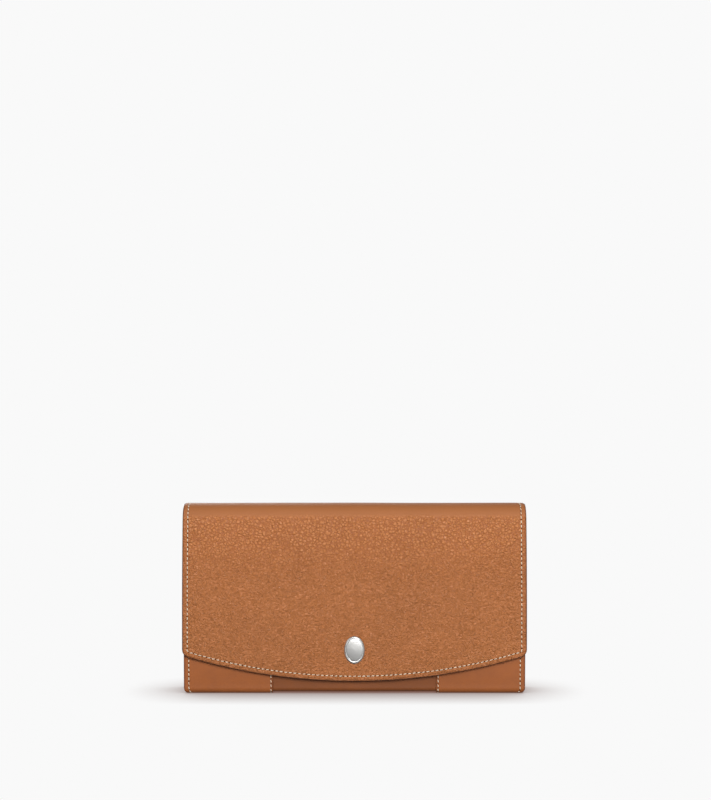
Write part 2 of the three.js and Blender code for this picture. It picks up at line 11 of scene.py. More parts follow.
import bpy
import numpy as np
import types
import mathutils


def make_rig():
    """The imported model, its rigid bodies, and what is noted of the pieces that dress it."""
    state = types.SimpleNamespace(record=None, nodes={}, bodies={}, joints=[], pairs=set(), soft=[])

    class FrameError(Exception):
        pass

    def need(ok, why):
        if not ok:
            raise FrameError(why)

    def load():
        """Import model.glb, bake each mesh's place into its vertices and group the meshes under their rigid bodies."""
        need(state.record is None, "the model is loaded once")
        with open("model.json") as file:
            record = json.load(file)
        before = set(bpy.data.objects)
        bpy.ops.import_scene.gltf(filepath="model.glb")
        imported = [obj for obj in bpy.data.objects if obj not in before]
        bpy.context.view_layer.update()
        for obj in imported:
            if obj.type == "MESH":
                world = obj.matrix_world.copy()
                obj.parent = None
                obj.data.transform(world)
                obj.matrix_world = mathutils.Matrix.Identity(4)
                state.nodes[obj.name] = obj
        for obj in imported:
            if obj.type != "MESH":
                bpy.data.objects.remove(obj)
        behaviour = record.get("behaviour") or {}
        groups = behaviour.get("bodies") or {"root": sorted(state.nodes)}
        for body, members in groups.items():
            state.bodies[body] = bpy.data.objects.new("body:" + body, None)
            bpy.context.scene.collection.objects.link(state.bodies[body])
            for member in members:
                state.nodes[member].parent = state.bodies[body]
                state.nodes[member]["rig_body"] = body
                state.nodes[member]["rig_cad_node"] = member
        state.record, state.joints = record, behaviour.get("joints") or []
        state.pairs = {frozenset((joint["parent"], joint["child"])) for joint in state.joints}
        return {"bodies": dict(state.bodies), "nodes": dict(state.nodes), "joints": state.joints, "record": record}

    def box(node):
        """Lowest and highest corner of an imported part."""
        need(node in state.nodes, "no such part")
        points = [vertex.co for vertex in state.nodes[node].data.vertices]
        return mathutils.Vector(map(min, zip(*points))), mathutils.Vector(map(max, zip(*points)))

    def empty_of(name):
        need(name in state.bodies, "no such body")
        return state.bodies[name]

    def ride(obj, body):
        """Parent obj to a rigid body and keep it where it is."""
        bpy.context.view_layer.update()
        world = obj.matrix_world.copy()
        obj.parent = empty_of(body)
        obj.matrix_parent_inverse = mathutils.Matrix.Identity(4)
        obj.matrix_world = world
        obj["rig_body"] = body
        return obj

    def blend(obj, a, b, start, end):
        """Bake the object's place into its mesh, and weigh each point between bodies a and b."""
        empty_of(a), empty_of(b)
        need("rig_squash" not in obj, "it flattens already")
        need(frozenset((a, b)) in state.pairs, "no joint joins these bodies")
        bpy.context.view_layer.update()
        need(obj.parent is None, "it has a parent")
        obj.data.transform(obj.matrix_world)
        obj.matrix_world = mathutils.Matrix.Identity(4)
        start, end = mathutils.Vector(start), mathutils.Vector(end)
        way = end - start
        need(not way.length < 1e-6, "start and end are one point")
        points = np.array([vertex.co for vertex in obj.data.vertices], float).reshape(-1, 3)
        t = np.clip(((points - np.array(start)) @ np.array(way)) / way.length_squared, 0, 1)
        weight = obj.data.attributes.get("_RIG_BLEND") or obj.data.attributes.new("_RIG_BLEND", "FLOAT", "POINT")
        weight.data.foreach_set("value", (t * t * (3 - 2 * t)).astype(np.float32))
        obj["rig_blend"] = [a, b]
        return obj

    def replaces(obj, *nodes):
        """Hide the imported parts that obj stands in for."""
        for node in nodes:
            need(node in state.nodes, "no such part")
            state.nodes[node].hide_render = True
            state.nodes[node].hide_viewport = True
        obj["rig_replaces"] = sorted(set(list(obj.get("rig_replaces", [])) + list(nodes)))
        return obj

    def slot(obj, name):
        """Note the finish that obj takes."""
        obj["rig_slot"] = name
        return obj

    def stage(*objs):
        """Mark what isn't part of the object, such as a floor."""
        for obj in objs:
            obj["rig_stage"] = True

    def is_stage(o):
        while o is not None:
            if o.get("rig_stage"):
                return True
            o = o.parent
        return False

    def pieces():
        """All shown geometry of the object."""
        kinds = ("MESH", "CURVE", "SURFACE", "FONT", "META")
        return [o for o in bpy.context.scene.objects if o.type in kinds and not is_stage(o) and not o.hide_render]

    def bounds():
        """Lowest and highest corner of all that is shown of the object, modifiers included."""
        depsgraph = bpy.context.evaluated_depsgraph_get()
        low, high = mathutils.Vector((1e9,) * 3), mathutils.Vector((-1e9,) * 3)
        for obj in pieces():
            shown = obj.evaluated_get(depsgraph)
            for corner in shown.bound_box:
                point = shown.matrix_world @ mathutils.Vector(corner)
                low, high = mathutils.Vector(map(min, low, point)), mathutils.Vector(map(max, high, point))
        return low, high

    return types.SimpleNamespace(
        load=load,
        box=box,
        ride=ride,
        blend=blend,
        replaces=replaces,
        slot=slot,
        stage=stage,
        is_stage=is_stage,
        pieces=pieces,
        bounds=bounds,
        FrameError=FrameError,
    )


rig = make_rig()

bl_info = {
    "name": "Long Flap Wallet",
    "version": (1, 0, 0),
    "blender": (4, 5, 0),
    "location": "3D Viewport > Sidebar > Wallet",
    "description": "Builds the leather, linings, zip, snap, ornament and stitching of a long flap wallet",
    "category": "Add Mesh",
}

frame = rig.load()
CAD_BOX = [list(corner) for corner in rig.bounds()]
MM = 0.001
SIZE_FILE = "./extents.json"


# ---------------------------------------------------------------- places taken from the frame


def low(node):
    """The lowest corner of a frame node."""
    return np.array(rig.box(node)[0])


def high(node):
    """The highest corner of a frame node."""
    return np.array(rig.box(node)[1])


def joint_place(name):
    """Where a hinge's axis lies."""
    return next(np.array(j["pos_m"]) for j in frame["joints"] if j["name"] == name)


HEIGHT = CAD_BOX[1][2]
BACK_FACE = high("back_panel")[1]
FLAP_FACE = low("flap_front_leather")[1]
FLAP_HALF = high("flap_front_leather")[0]
BODY_HALF = high("back_panel")[0]
REAR_FOLD = joint_place("flap_hinge")
FRONT_FOLD = joint_place("flap_fold")
FRONT_FOOT = joint_place("front_lean")

LAYER_GAP = 0.1 * MM
BACK_LINING_DEPTH = BACK_FACE - high("gusset_left")[1] - 0.3 * MM
FRONT_LINING_THICKNESS = 1.3 * MM
FRONT_LINING_FOOT = 4.4 * MM
FLAP_EDGE_RISE = 14.3 * MM
FLAP_CORNER = 4 * MM
FOOT_CORNER = 3 * MM
POCKET_CORNER = 2 * MM
SEAM_FROM_TOP = 2 * MM
TOOTH_PITCH = 1.3 * MM
TOOTH_OFFSET = 1.0 * MM


# ---------------------------------------------------------------- sizes and colours


def length(label, note, millimetres, **more):
    """A length setting, in metres, with its default given in millimetres."""
    return bpy.props.FloatProperty(
        name=label, description=note, default=millimetres * MM, unit="LENGTH", precision=5, **more
    )


def colour(label, note, value):
    """A colour setting, as linear red, green and blue."""
    return bpy.props.FloatVectorProperty(
        name=label, description=note, default=value, subtype="COLOR", size=3, min=0.0, max=1.0
    )


class WalletShape(bpy.types.PropertyGroup):
    """Sizes of the wallet's outline and of its layers."""

    crown_radius: length("Crown radius", "Radius of the front's gentle crown, in side view", 450)
    crown_height: length("Crown height", "Height at which the front is fullest", 42)
    rear_bend: length("Rear bend", "Radius of the bend at the top of the back", 9)
    front_bend: length("Front bend", "Radius of the bend at the top of the front", 10)
    grain_leather: length("Grained leather", "Thickness of the outer leather", 1.2)
    panel_leather: length("Panel leather", "Thickness of the front's middle panel", 1.0)
    overlay_leather: length("Overlay leather", "Thickness of the front's side panels", 0.7)
    thin_leather: length("Thin leather", "Thickness of the card strips", 0.6)
    edge_dip: length("Seam dip", "How far the thread pulls the leather in", 0.16)
    waviness: length("Waviness", "How far the leather strays from its ideal surface", 0.10)
    mesh_step: length("Mesh step", "Size of the mesh's cells, away from the edges", 1.7)


class WalletStitching(bpy.types.PropertyGroup):
    """Sizes of the thread and where its seams run."""

    pitch: length("Pitch", "From one needle hole to the next", 2.55)
    visible: length("Visible length", "Length of thread that shows between two holes", 1.75)
    thread: length("Thread", "Radius of the thread", 0.27)
    margin: length("Margin", "From a sewn edge to its seam", 2.5)
    overlay_margin: length("Overlay margin", "From an overlay's inner edge to its seam", 0.9)
    slant: bpy.props.FloatProperty(
        name="Slant",
        description="Turn of each stitch from its seam",
        default=math.radians(7),
        subtype="ANGLE",
    )


class WalletColours(bpy.types.PropertyGroup):
    """Colours of the wallet's materials."""

    grained: colour("Grained leather", "Outer leather of the flap and back", (0.53, 0.184, 0.055))
    # The body colour is partly the front leather's own colour and partly painted shade: it is set darker to stand in
    # for the shade under the flap.
    body: colour("Body leather", "Leather of the front panels and base", (0.335, 0.102, 0.027))
    inner: colour("Inner leather", "Leather of the card strips, gussets and pocket", (0.47, 0.21, 0.090))
    edge: colour("Edge paint", "Paint on cut edges", (0.20, 0.070, 0.028))
    thread: colour("Thread", "Sewing thread", (0.90, 0.79, 0.62))
    lining: colour("Lining", "Woven lining", (0.50, 0.34, 0.20))
    tape: colour("Zip tape", "Woven zip tape", (0.26, 0.115, 0.050))
    metal: colour("Metal", "Ornament, snap and zip", (0.80, 0.79, 0.77))


GROUPS = {"wallet_shape": WalletShape, "wallet_stitching": WalletStitching, "wallet_colours": WalletColours}


def shape():
    """The wallet's size settings."""
    return bpy.context.scene.wallet_shape


def stitching():
    """The sewing settings."""
    return bpy.context.scene.wallet_stitching


def colours():
    """The colour settings."""
    return bpy.context.scene.wallet_colours


# ---------------------------------------------------------------- side outlines


class Outline:
    """A side-view path of straight and round stretches in the YZ plane.

    s is the length along it. Its outward side is to the right of its direction. A round stretch turns
    anticlockwise: its point at angle a is centre + radius * (cos a, sin a), with a growing by
    length / radius.
    """

    def __init__(self, stretches):
        self.stretches = stretches
        lengths = [self._length(stretch) for stretch in stretches]
        self.starts = np.concatenate([[0.0], np.cumsum(lengths)])
        self.length = self.starts[-1]

    @staticmethod
    def _length(stretch):
        """The length of one stretch."""
        if stretch[0] == "line":
            return math.dist(stretch[1], stretch[2])
        return stretch[2] * (stretch[4] - stretch[3])

    def at(self, s, depth=0.0):
        """(y, z, outward y, outward z) at lengths s, a depth under the path."""
        s = np.asarray(s, float)
        y, z, ny, nz = (np.zeros_like(s) for _ in range(4))
        which = np.clip(np.searchsorted(self.starts, s, side="right") - 1, 0, len(self.stretches) - 1)
        for i, stretch in enumerate(self.stretches):
            here = which == i
            run = s[here] - self.starts[i]
            if stretch[0] == "line":
                start, end = np.array(stretch[1]), np.array(stretch[2])
                along = (end - start) / math.dist(start, end)
                y[here], z[here] = start[0] + along[0] * run, start[1] + along[1] * run
                ny[here], nz[here] = along[1], -along[0]
            else:
                _, centre, radius, first, _ = stretch
                angle = first + run / radius
                ny[here], nz[here] = np.cos(angle), np.sin(angle)
                y[here], z[here] = centre[0] + radius * ny[here], centre[1] + radius * nz[here]
        return y - ny * depth, z - nz * depth, ny, nz

    def rows(self, step, bend_turn=math.radians(7)):
        """Lengths at which to put rows: even on each stretch, and close enough in its bends."""
        out = [0.0]
        for i, stretch in enumerate(self.stretches):
            span = self.starts[i + 1] - self.starts[i]
            count = max(1, math.ceil(span / step))
            if stretch[0] == "arc":
                count = max(count, math.ceil((stretch[4] - stretch[3]) / bend_turn))
            out.extend(self.starts[i] + span * np.arange(1, count + 1) / count)
        return np.array(out)


def crown():
    """Centre of the front's crown and the angle and height at which the front bend meets it."""
    sizes = shape()
    centre = (FLAP_FACE + sizes.crown_radius, sizes.crown_height)
    rise = HEIGHT - sizes.front_bend - sizes.crown_height
    reach = sizes.crown_radius - sizes.front_bend
    bend_centre = (centre[0] - math.sqrt(reach**2 - rise**2), HEIGHT - sizes.front_bend)
    return centre, bend_centre, math.pi - math.asin(rise / reach)


def crown_angle(z, depth=0.0):
    """The angle round the crown's centre at which a layer reaches height z."""
    sizes = shape()
    return math.pi + np.arcsin((sizes.crown_height - z) / (sizes.crown_radius - depth))


def flap_outline():
    """Up the back, round the rear bend, over the top, round the front bend and down the crown."""
    sizes = shape()
    centre, bend_centre, tangent = crown()
    rear = (BACK_FACE - sizes.rear_bend, HEIGHT - sizes.rear_bend)
    return Outline([
        ("line", (BACK_FACE, low("back_panel")[2]), (BACK_FACE, rear[1])),
        ("arc", rear, sizes.rear_bend, 0.0, math.pi / 2),
        ("line", (rear[0], HEIGHT), (bend_centre[0], HEIGHT)),
        ("arc", bend_centre, sizes.front_bend, math.pi / 2, tangent),
        ("arc", centre, sizes.crown_radius, tangent, float(crown_angle(0.0))),
    ])


def front_outline(depth):
    """Down the front wall's crown at a depth, round the foot, along the base and up the back's foot."""
    sizes = shape()
    centre, _, _ = crown()
    radius = sizes.crown_radius - depth
    seam = FRONT_FOOT[2]
    inward = depth - overlay_depth()
    foot = 0.8 * seam
    front_y = FRONT_FOOT[1] + foot
    back_y = BACK_FACE - foot
    turn = foot - inward
    last = float(crown_angle(seam, depth))
    crown_end = (centre[0] + radius * math.cos(last), centre[1] + radius * math.sin(last))
    return Outline([
        ("arc", centre, radius, float(crown_angle(wall_top(), depth)), last),
        ("line", crown_end, (front_y - turn, foot)),
        ("arc", (front_y, foot), turn, math.pi, 1.5 * math.pi),
        ("line", (front_y, foot - turn), (back_y, foot - turn)),
        ("arc", (back_y, foot), turn, 1.5 * math.pi, 2 * math.pi),
        ("line", (back_y + turn, foot), (back_y + turn, seam)),
    ])


def wall_top():
    """Height of the front wall's top edge."""
    return high("front_center_panel")[2]


def overlay_depth():
    """How far the side panels' outer surface lies under the flap's."""
    return FRONT_FOOT[1] - (crown()[0][0] + shape().crown_radius * math.cos(crown_angle(FRONT_FOOT[2])))


def panel_depth():
    """How far the middle panel's outer surface lies under the flap's."""
    return overlay_depth() + shape().overlay_leather + LAYER_GAP


def lining_depth():
    """How far the front lining's outer surface lies under the flap's."""
    return panel_depth() + shape().panel_leather + LAYER_GAP


# Each wave's change of angle along x and s (radians for a metre), its phase and its share of the height.
WAVES = (
    (38, 71, 0.3, 0.30), (-55, 44, 1.9, 0.25), (93, 27, 4.1, 0.18), (61, -118, 2.6, 0.15),
    (140, 83, 5.2, 0.12),
)


def ripple(x, s):
    """The leather's slight waviness: a sum of five slow waves in x and s, between -1 and 1."""
    return sum(share * np.sin(kx * x + ks * s + phase) for kx, ks, phase, share in WAVES)


# ---------------------------------------------------------------- meshes

EDGE_CELLS = np.array([0.0, 0.12, 0.3, 0.55, 0.9, 1.3, 1.7, 2.1, 2.5, 2.9, 3.3, 3.9, 4.8, 6.0]) * MM
EDGE_RINGS = 3
EDGE_ROUNDNESS = 0.75
EDGE_RIM = -0.3 * MM


def spread(start, end, step):
    """Places from start to end: close together at the ends, like EDGE_CELLS, and even between them."""
    first, last = start + EDGE_CELLS[-1], end - EDGE_CELLS[-1]
    count = max(1, math.ceil((last - first) / step))
    even = np.linspace(first, last, count + 1)
    return np.concatenate([start + EDGE_CELLS[:-1], even, (end - EDGE_CELLS[:-1])[::-1]])


def make_object(name, vertices, faces, materials, face_materials=None, uv=None, smooth=True):
    """A mesh object from arrays or lists. uv holds one pair for each vertex."""
    given = vertices, faces
    vertices, faces = (part.tolist() if isinstance(part, np.ndarray) else part for part in given)
    mesh = bpy.data.meshes.new(name)
    mesh.from_pydata(vertices, [], faces)
    if uv is not None:
        corner = np.zeros(len(mesh.loops), np.int32)
        mesh.loops.foreach_get("vertex_index", corner)
        layer = mesh.uv_layers.new(name="flat")
        layer.data.foreach_set("uv", np.asarray(uv, np.float32)[corner].ravel())
    for finish in materials:
        mesh.materials.append(finish)
    if face_materials is not None:
        mesh.polygons.foreach_set("material_index", np.asarray(face_materials, np.int32))
    mesh.polygons.foreach_set("use_smooth", np.full(len(mesh.polygons), smooth))
    mesh.update()
    made = bpy.data.objects.new(name, mesh)
    bpy.context.scene.collection.objects.link(made)
    return made


def grid_faces(index, flip=False):
    """Quads over a grid of vertex numbers."""
    quads = np.stack([index[:-1, :-1], index[:-1, 1:], index[1:, 1:], index[1:, :-1]], -1).reshape(-1, 4)
    return quads[:, ::-1] if flip else quads


def unit(vectors):
    """The vectors scaled to length 1."""
    return vectors / np.maximum(np.linalg.norm(vectors, axis=-1, keepdims=True), 1e-12)


def slab(name, middle, normals, thickness, uv, rim, materials, flat_ends=()):
    """A sheet of even thickness with rounded edges.

    Its faces are middle + and - thickness / 2 along normals. Its edge is a half turn from one face to the
    other: boundary + thickness / 2 * (cos a * normal + EDGE_ROUNDNESS * sin a * outward), a from 0 to pi.
    flat_ends names the grid's ends ("start", "end") that meet another sheet and stay flat. rim is each
    point's distance from the sheet's edge. materials are those of the face, the back and the edge.
    """
    across, along = middle.shape[:2]
    half = thickness / 2
    turn = np.cross(middle[1, 1] - middle[0, 1], middle[0, 1] - middle[0, 0])
    flip = float(turn @ normals[0, 1]) > 0
    number = np.arange(across * along).reshape(across, along)
    loop = np.concatenate([number[:, 0], number[-1, 1:], number[-2::-1, -1], number[0, -2:0:-1]])
    edge, edge_normal = middle.reshape(-1, 3)[loop], normals.reshape(-1, 3)[loop]
    tangent = unit(np.roll(edge, -1, 0) - np.roll(edge, 1, 0))
    outward = unit(np.cross(tangent, edge_normal))
    probe = across // 2
    if outward[probe] @ (middle[probe, 0] - middle[probe, 1]) < 0:
        outward = -outward
    row = np.tile(np.arange(along), (across, 1)).ravel()[loop]
    flat = np.zeros(len(loop), bool)
    if "start" in flat_ends:
        flat |= row == 0
    if "end" in flat_ends:
        flat |= row == along - 1
    outward[flat] = 0.0
    angles = np.pi * np.arange(1, EDGE_RINGS + 1) / (EDGE_RINGS + 1)
    sideways = EDGE_ROUNDNESS * outward
    rings = [edge + half * (math.cos(a) * edge_normal + math.sin(a) * sideways) for a in angles]
    total = across * along
    front, behind = (middle + side * half * normals for side in (1, -1))
    vertices = np.concatenate([front.reshape(-1, 3), behind.reshape(-1, 3), *rings])
    ring_numbers = [2 * total + k * len(loop) + np.arange(len(loop)) for k in range(EDGE_RINGS)]
    strips = np.stack([loop, *ring_numbers, total + loop])
    strips = np.concatenate([strips, strips[:, :1]], axis=1)
    top, back = grid_faces(number, flip), grid_faces(number + total, not flip)
    sides = grid_faces(strips, not flip)
    faces = np.concatenate([top, back, sides])
    face_materials = np.repeat([0, 1, 2], [len(top), len(back), len(sides)])
    flat_uv = uv.reshape(-1, 2)
    all_uv = np.concatenate([flat_uv, flat_uv, *[flat_uv[loop]] * EDGE_RINGS])
    made = make_object(name, vertices, faces, materials, face_materials, all_uv)
    distances = np.concatenate([rim.ravel(), rim.ravel(), np.full(EDGE_RINGS * len(loop), EDGE_RIM)])
    attribute = made.data.attributes.new("rim", "FLOAT", "POINT")
    attribute.data.foreach_set("value", distances.astype(np.float32))
    if flat.any():
        keep_sharp(made.data, np.concatenate([loop[flat], total + loop[flat]]))
    return made


def keep_sharp(mesh, corners):
    """Marks the edges that join two of these vertices on one face as sharp."""
    marked = np.zeros(len(mesh.vertices), bool)
    marked[corners] = True
    ends = np.zeros(len(mesh.edges) * 2, np.int32)
    mesh.edges.foreach_get("vertices", ends)
    ends = ends.reshape(-1, 2)
    sharp = marked[ends].all(axis=1)
    mesh.attributes.new("sharp_edge", "BOOLEAN", "EDGE").data.foreach_set("value", sharp)


def sheet_on(outline, x, s, depth, lift=0.0):
    """Points and outward normals at widths x and lengths s, a depth under an outline."""
    y, z, ny, nz = outline.at(s, depth)
    normals = np.stack([np.zeros_like(x), ny, nz], -1)
    points = np.stack([x, y, z], -1) + normals * np.asarray(lift)[..., None]
    return points, normals


# ---------------------------------------------------------------- flap's lower edge


class FlapEdge:
    """The flap's lower edge in the flattened sheet: one long curve with a rounded corner at each side.

    The curve is a circle of radius R round (0, low - R). The corner is a circle of radius r that touches
    the curve and the straight side. Distances are measured in the (x, s) plane.
    """

    def __init__(self, outline, half, inset):
        lowest = low("flap_front_leather")[2]
        self.radius = (FLAP_HALF**2 + FLAP_EDGE_RISE**2) / (2 * FLAP_EDGE_RISE) - inset
        self.corner = FLAP_CORNER
        self.half = half - inset
        start = outline.starts[-2]
        top_angle = outline.stretches[-1][3]
        self.low = start + shape().crown_radius * (float(crown_angle(lowest)) - top_angle) - inset
        self.centre = self.low - self.radius
        self.corner_x = self.half - self.corner
        self.corner_s = self.centre + math.sqrt((self.radius - self.corner) ** 2 - self.corner_x**2)
        self.join = math.asin(self.corner_x / (self.radius - self.corner))

    def ends(self, x):
        """The length s at which the sheet ends, for each x."""
        x = np.abs(x)
        curve = self.centre + np.sqrt(np.maximum(self.radius**2 - x**2, 0))
        past = np.maximum(x - self.corner_x, 0)
        corner = self.corner_s + np.sqrt(np.maximum(self.corner**2 - past**2, 0))
        return np.where(x > self.corner_x + self.corner * math.sin(self.join), corner, curve)

    def distance(self, x, s):
        """How far each point lies inside the edge."""
        x = np.abs(x)
        side = self.half - x
        curve = self.radius - np.hypot(x, s - self.centre)
        from_x, from_s = x - self.corner_x, s - self.corner_s
        past_join = from_x * math.cos(self.join) > from_s * math.sin(self.join)
        wedge = (from_x > 0) & (from_s > 0) & past_join
        return np.where(wedge, self.corner - np.hypot(from_x, from_s), np.minimum(side, curve))

    def seam(self, margin):
        """Points (x, s) of a line inside the edge, from the left side round to the right."""
        radius, corner = self.radius - margin, self.corner - margin
        angles = np.linspace(-self.join, self.join, 400)
        curve = np.stack([radius * np.sin(angles), self.centre + radius * np.cos(angles)], -1)
        turn = np.linspace(self.join, math.pi / 2, 20)
        right = np.stack([self.corner_x + corner * np.sin(turn), self.corner_s + corner * np.cos(turn)], -1)
        left = (right * [-1, 1])[::-1]
        return np.concatenate([left, curve[1:-1], right])


def seam_dip(rim, margin):
    """The thread's pull on the leather: a groove at the seam, and the edge rolled down a little."""
    groove = np.exp(-(((rim - margin) / (0.55 * MM)) ** 2))
    roll = np.exp(-rim / (0.7 * MM))
    return -shape().edge_dip * (groove + 0.9 * roll)


# ---------------------------------------------------------------- shader building


class Nodes:
    """Adds shader nodes to a tree and wires them by name."""

    def __init__(self, tree):
        self.tree = tree

    def add(self, kind, sockets=None, **settings):
        """A node with its settings and its input sockets set or linked."""
        node = self.tree.nodes.new(kind)
        for key, value in settings.items():
            setattr(node, key, value)
        for key, value in (sockets or {}).items():
            self.put(node, key, value)
        return node

    def put(self, node, key, value):
        """Sets or links one input socket."""
        socket = node.inputs[key]
        if isinstance(value, bpy.types.NodeSocket):
            self.tree.links.new(value, socket)
        else:
            socket.default_value = value

    def math(self, operation, a, b=0.0, c=0.0):
        """One number worked out from others."""
        node = self.add("ShaderNodeMath", {0: a, 1: b}, operation=operation)
        if operation in ("MULTIPLY_ADD", "SMOOTH_MIN", "SMOOTH_MAX"):
            self.put(node, 2, c)
        return node.outputs[0]

    def between(self, value, low_in, high_in, low_out=0.0, high_out=1.0):
        """value eased from one range to another, held at its ends."""
        ends = {"From Min": low_in, "From Max": high_in, "To Min": low_out, "To Max": high_out}
        node = self.add("ShaderNodeMapRange", {"Value": value, **ends}, interpolation_type="SMOOTHSTEP")
        return node.outputs["Result"]

    def mix(self, factor, a, b):
        """Two colours mixed."""
        node = self.add("ShaderNodeMix", data_type="RGBA")
        self.put(node, 0, factor)
        self.put(node, 6, a)
        self.put(node, 7, b)
        return node.outputs[2]

    def noise(self, vector, scale, detail=3.0, roughness=0.5, output="Fac"):
        """Cloudy noise."""
        sockets = {"Vector": vector, "Scale": scale, "Detail": detail, "Roughness": roughness}
        return self.add("ShaderNodeTexNoise", sockets).outputs[output]

    def voronoi(self, vector, scale, feature="DISTANCE_TO_EDGE"):
        """Distances in a pattern of cells."""
        node = self.add("ShaderNodeTexVoronoi", {"Vector": vector, "Scale": scale}, feature=feature)
        return node.outputs["Distance"]

    def vectors(self, operation, a, b):
        """A vector put together with another one, or with a scale."""
        second = "Scale" if operation == "SCALE" else 1
        return self.add("ShaderNodeVectorMath", {0: a, second: b}, operation=operation).outputs[0]

    def stretch(self, vector, scale, turn=0.0):
        """A vector scaled on each axis, then turned about Z."""
        node = self.add("ShaderNodeMapping", {"Vector": vector, "Scale": scale, "Rotation": (0, 0, turn)})
        return node.outputs[0]


def rgba(value, shade=1.0):
    """A colour setting as a socket value, lighter or darker by shade."""
    return (value[0] * shade, value[1] * shade, value[2] * shade, 1.0)


def new_group(name, inputs, outputs):
    """An empty shader node group with its sockets, as (nodes, input sockets, output node)."""
    tree = bpy.data.node_groups.new(name, "ShaderNodeTree")
    for label, kind, default in inputs:
        socket = tree.interface.new_socket(label, in_out="INPUT", socket_type=kind)
        if default is not None:
            socket.default_value = default
    for label, kind in outputs:
        tree.interface.new_socket(label, in_out="OUTPUT", socket_type=kind)
    nodes = Nodes(tree)
    return nodes, nodes.add("NodeGroupInput").outputs, nodes.add("NodeGroupOutput")


FLOAT = "NodeSocketFloat"
VECTOR = "NodeSocketVector"


def pebble_group():
    """Rounded pebbles of leather between creases, with smaller ones inside them. Vector is in mm."""
    sockets = [("Vector", VECTOR, None), ("Pebble", FLOAT, 1.6)]
    outputs = [("Height", FLOAT), ("Crease", FLOAT), ("Top", FLOAT)]
    nodes, given, out = new_group("pebble_grain", sockets, outputs)
    wander = nodes.noise(given["Vector"], 0.55, 2.0, 0.5, "Color")
    centred = nodes.vectors("SUBTRACT", wander, (0.5, 0.5, 0.5))
    wide = nodes.vectors("SCALE", centred, 1.5)
    place = nodes.vectors("ADD", given["Vector"], wide)
    density = nodes.math("DIVIDE", 1.0, given["Pebble"])
    edges = nodes.voronoi(place, density)
    middles = nodes.voronoi(place, density, "F1")
    small = nodes.voronoi(place, nodes.math("MULTIPLY", density, 2.1))
    plateau = nodes.between(edges, 0.0, 0.30)
    dome = nodes.between(middles, 0.0, 0.75, 1.0, 0.0)
    lesser = nodes.between(small, 0.0, 0.20)
    height = nodes.math("MULTIPLY_ADD", plateau, 0.45, nodes.math("MULTIPLY", dome, 0.40))
    nodes.put(out, "Height", nodes.math("MULTIPLY_ADD", lesser, 0.15, height))
    nodes.put(out, "Crease", nodes.between(edges, 0.0, 0.16, 1.0, 0.0))
    nodes.put(out, "Top", nodes.between(middles, 0.18, 0.60, 1.0, 0.0))
    return nodes.tree


def crease_group():
    """Fine creases that run mostly along X, as ridges of a stretched noise. Vector is in mm."""
    nodes, given, out = new_group("drawn_creases", [("Vector", VECTOR, None)], [("Height", FLOAT)])
    longer = nodes.stretch(given["Vector"], (0.32, 1.0, 1.0), math.radians(9))
    first = nodes.noise(longer, 1.45, 1.5, 0.45)
    crossing = nodes.stretch(given["Vector"], (0.75, 0.75, 1.0), math.radians(-28))
    second = nodes.noise(crossing, 1.5, 1.0, 0.45)
    ridges = nodes.math("ABSOLUTE", nodes.math("MULTIPLY_ADD", first, 2.0, -1.0))
    cross_ridges = nodes.math("ABSOLUTE", nodes.math("MULTIPLY_ADD", second, 2.0, -1.0))
    both = nodes.math("SMOOTH_MIN", ridges, nodes.math("ADD", cross_ridges, 0.06), 0.1)
    nodes.put(out, "Height", nodes.between(both, 0.0, 0.30))
    return nodes.tree


def pore_group():
    """Smooth leather's faint pores and pressing marks. Vector is in mm."""
    outputs = [("Height", FLOAT), ("Pores", FLOAT)]
    nodes, given, out = new_group("fine_pores", [("Vector", VECTOR, None)], outputs)
    cells = nodes.voronoi(given["Vector"], 1.7)
    pits = nodes.voronoi(given["Vector"], 2.6, "F1")
    soft = nodes.noise(given["Vector"], 0.9, 4.0, 0.6)
    pores = nodes.between(pits, 0.0, 0.16, 1.0, 0.0)
    soft = nodes.math("MULTIPLY", soft, 0.6)
    height = nodes.math("MULTIPLY_ADD", nodes.between(cells, 0.0, 0.2), 0.3, soft)
    nodes.put(out, "Height", nodes.math("MULTIPLY_ADD", pores, -0.35, height))
    nodes.put(out, "Pores", pores)
    return nodes.tree


def rim_group():
    """Masks from a sheet's distance to its edge: Burnish at the edge, and Line, a pressed crease."""
    inputs = [("Crease At", FLOAT, 1.2)]
    nodes, given, out = new_group("edge_marks", inputs, [("Burnish", FLOAT), ("Line", FLOAT)])
    distance = nodes.add("ShaderNodeAttribute", attribute_name="rim").outputs["Fac"]
    inside = nodes.math("MULTIPLY", distance, 1000.0)
    away = nodes.math("ABSOLUTE", nodes.math("SUBTRACT", inside, given["Crease At"]))
    nodes.put(out, "Burnish", nodes.between(inside, 0.0, 1.5, 1.0, 0.0))
    nodes.put(out, "Line", nodes.between(away, 0.0, 0.28, 1.0, 0.0))
    return nodes.tree


def drift_group():
    """Slow change of tone from hand dyeing and handling. Vector is in mm."""
    outputs = [("Tone", FLOAT), ("Mottle", FLOAT)]
    nodes, given, out = new_group("tone_drift", [("Vector", VECTOR, None)], outputs)
    slow = nodes.noise(given["Vector"], 0.022, 3.0, 0.55)
    mottle = nodes.noise(given["Vector"], 0.21, 4.0, 0.6)
    nodes.put(out, "Tone", nodes.between(slow, 0.3, 0.7))
    nodes.put(out, "Mottle", nodes.between(mottle, 0.3, 0.7))
    return nodes.tree


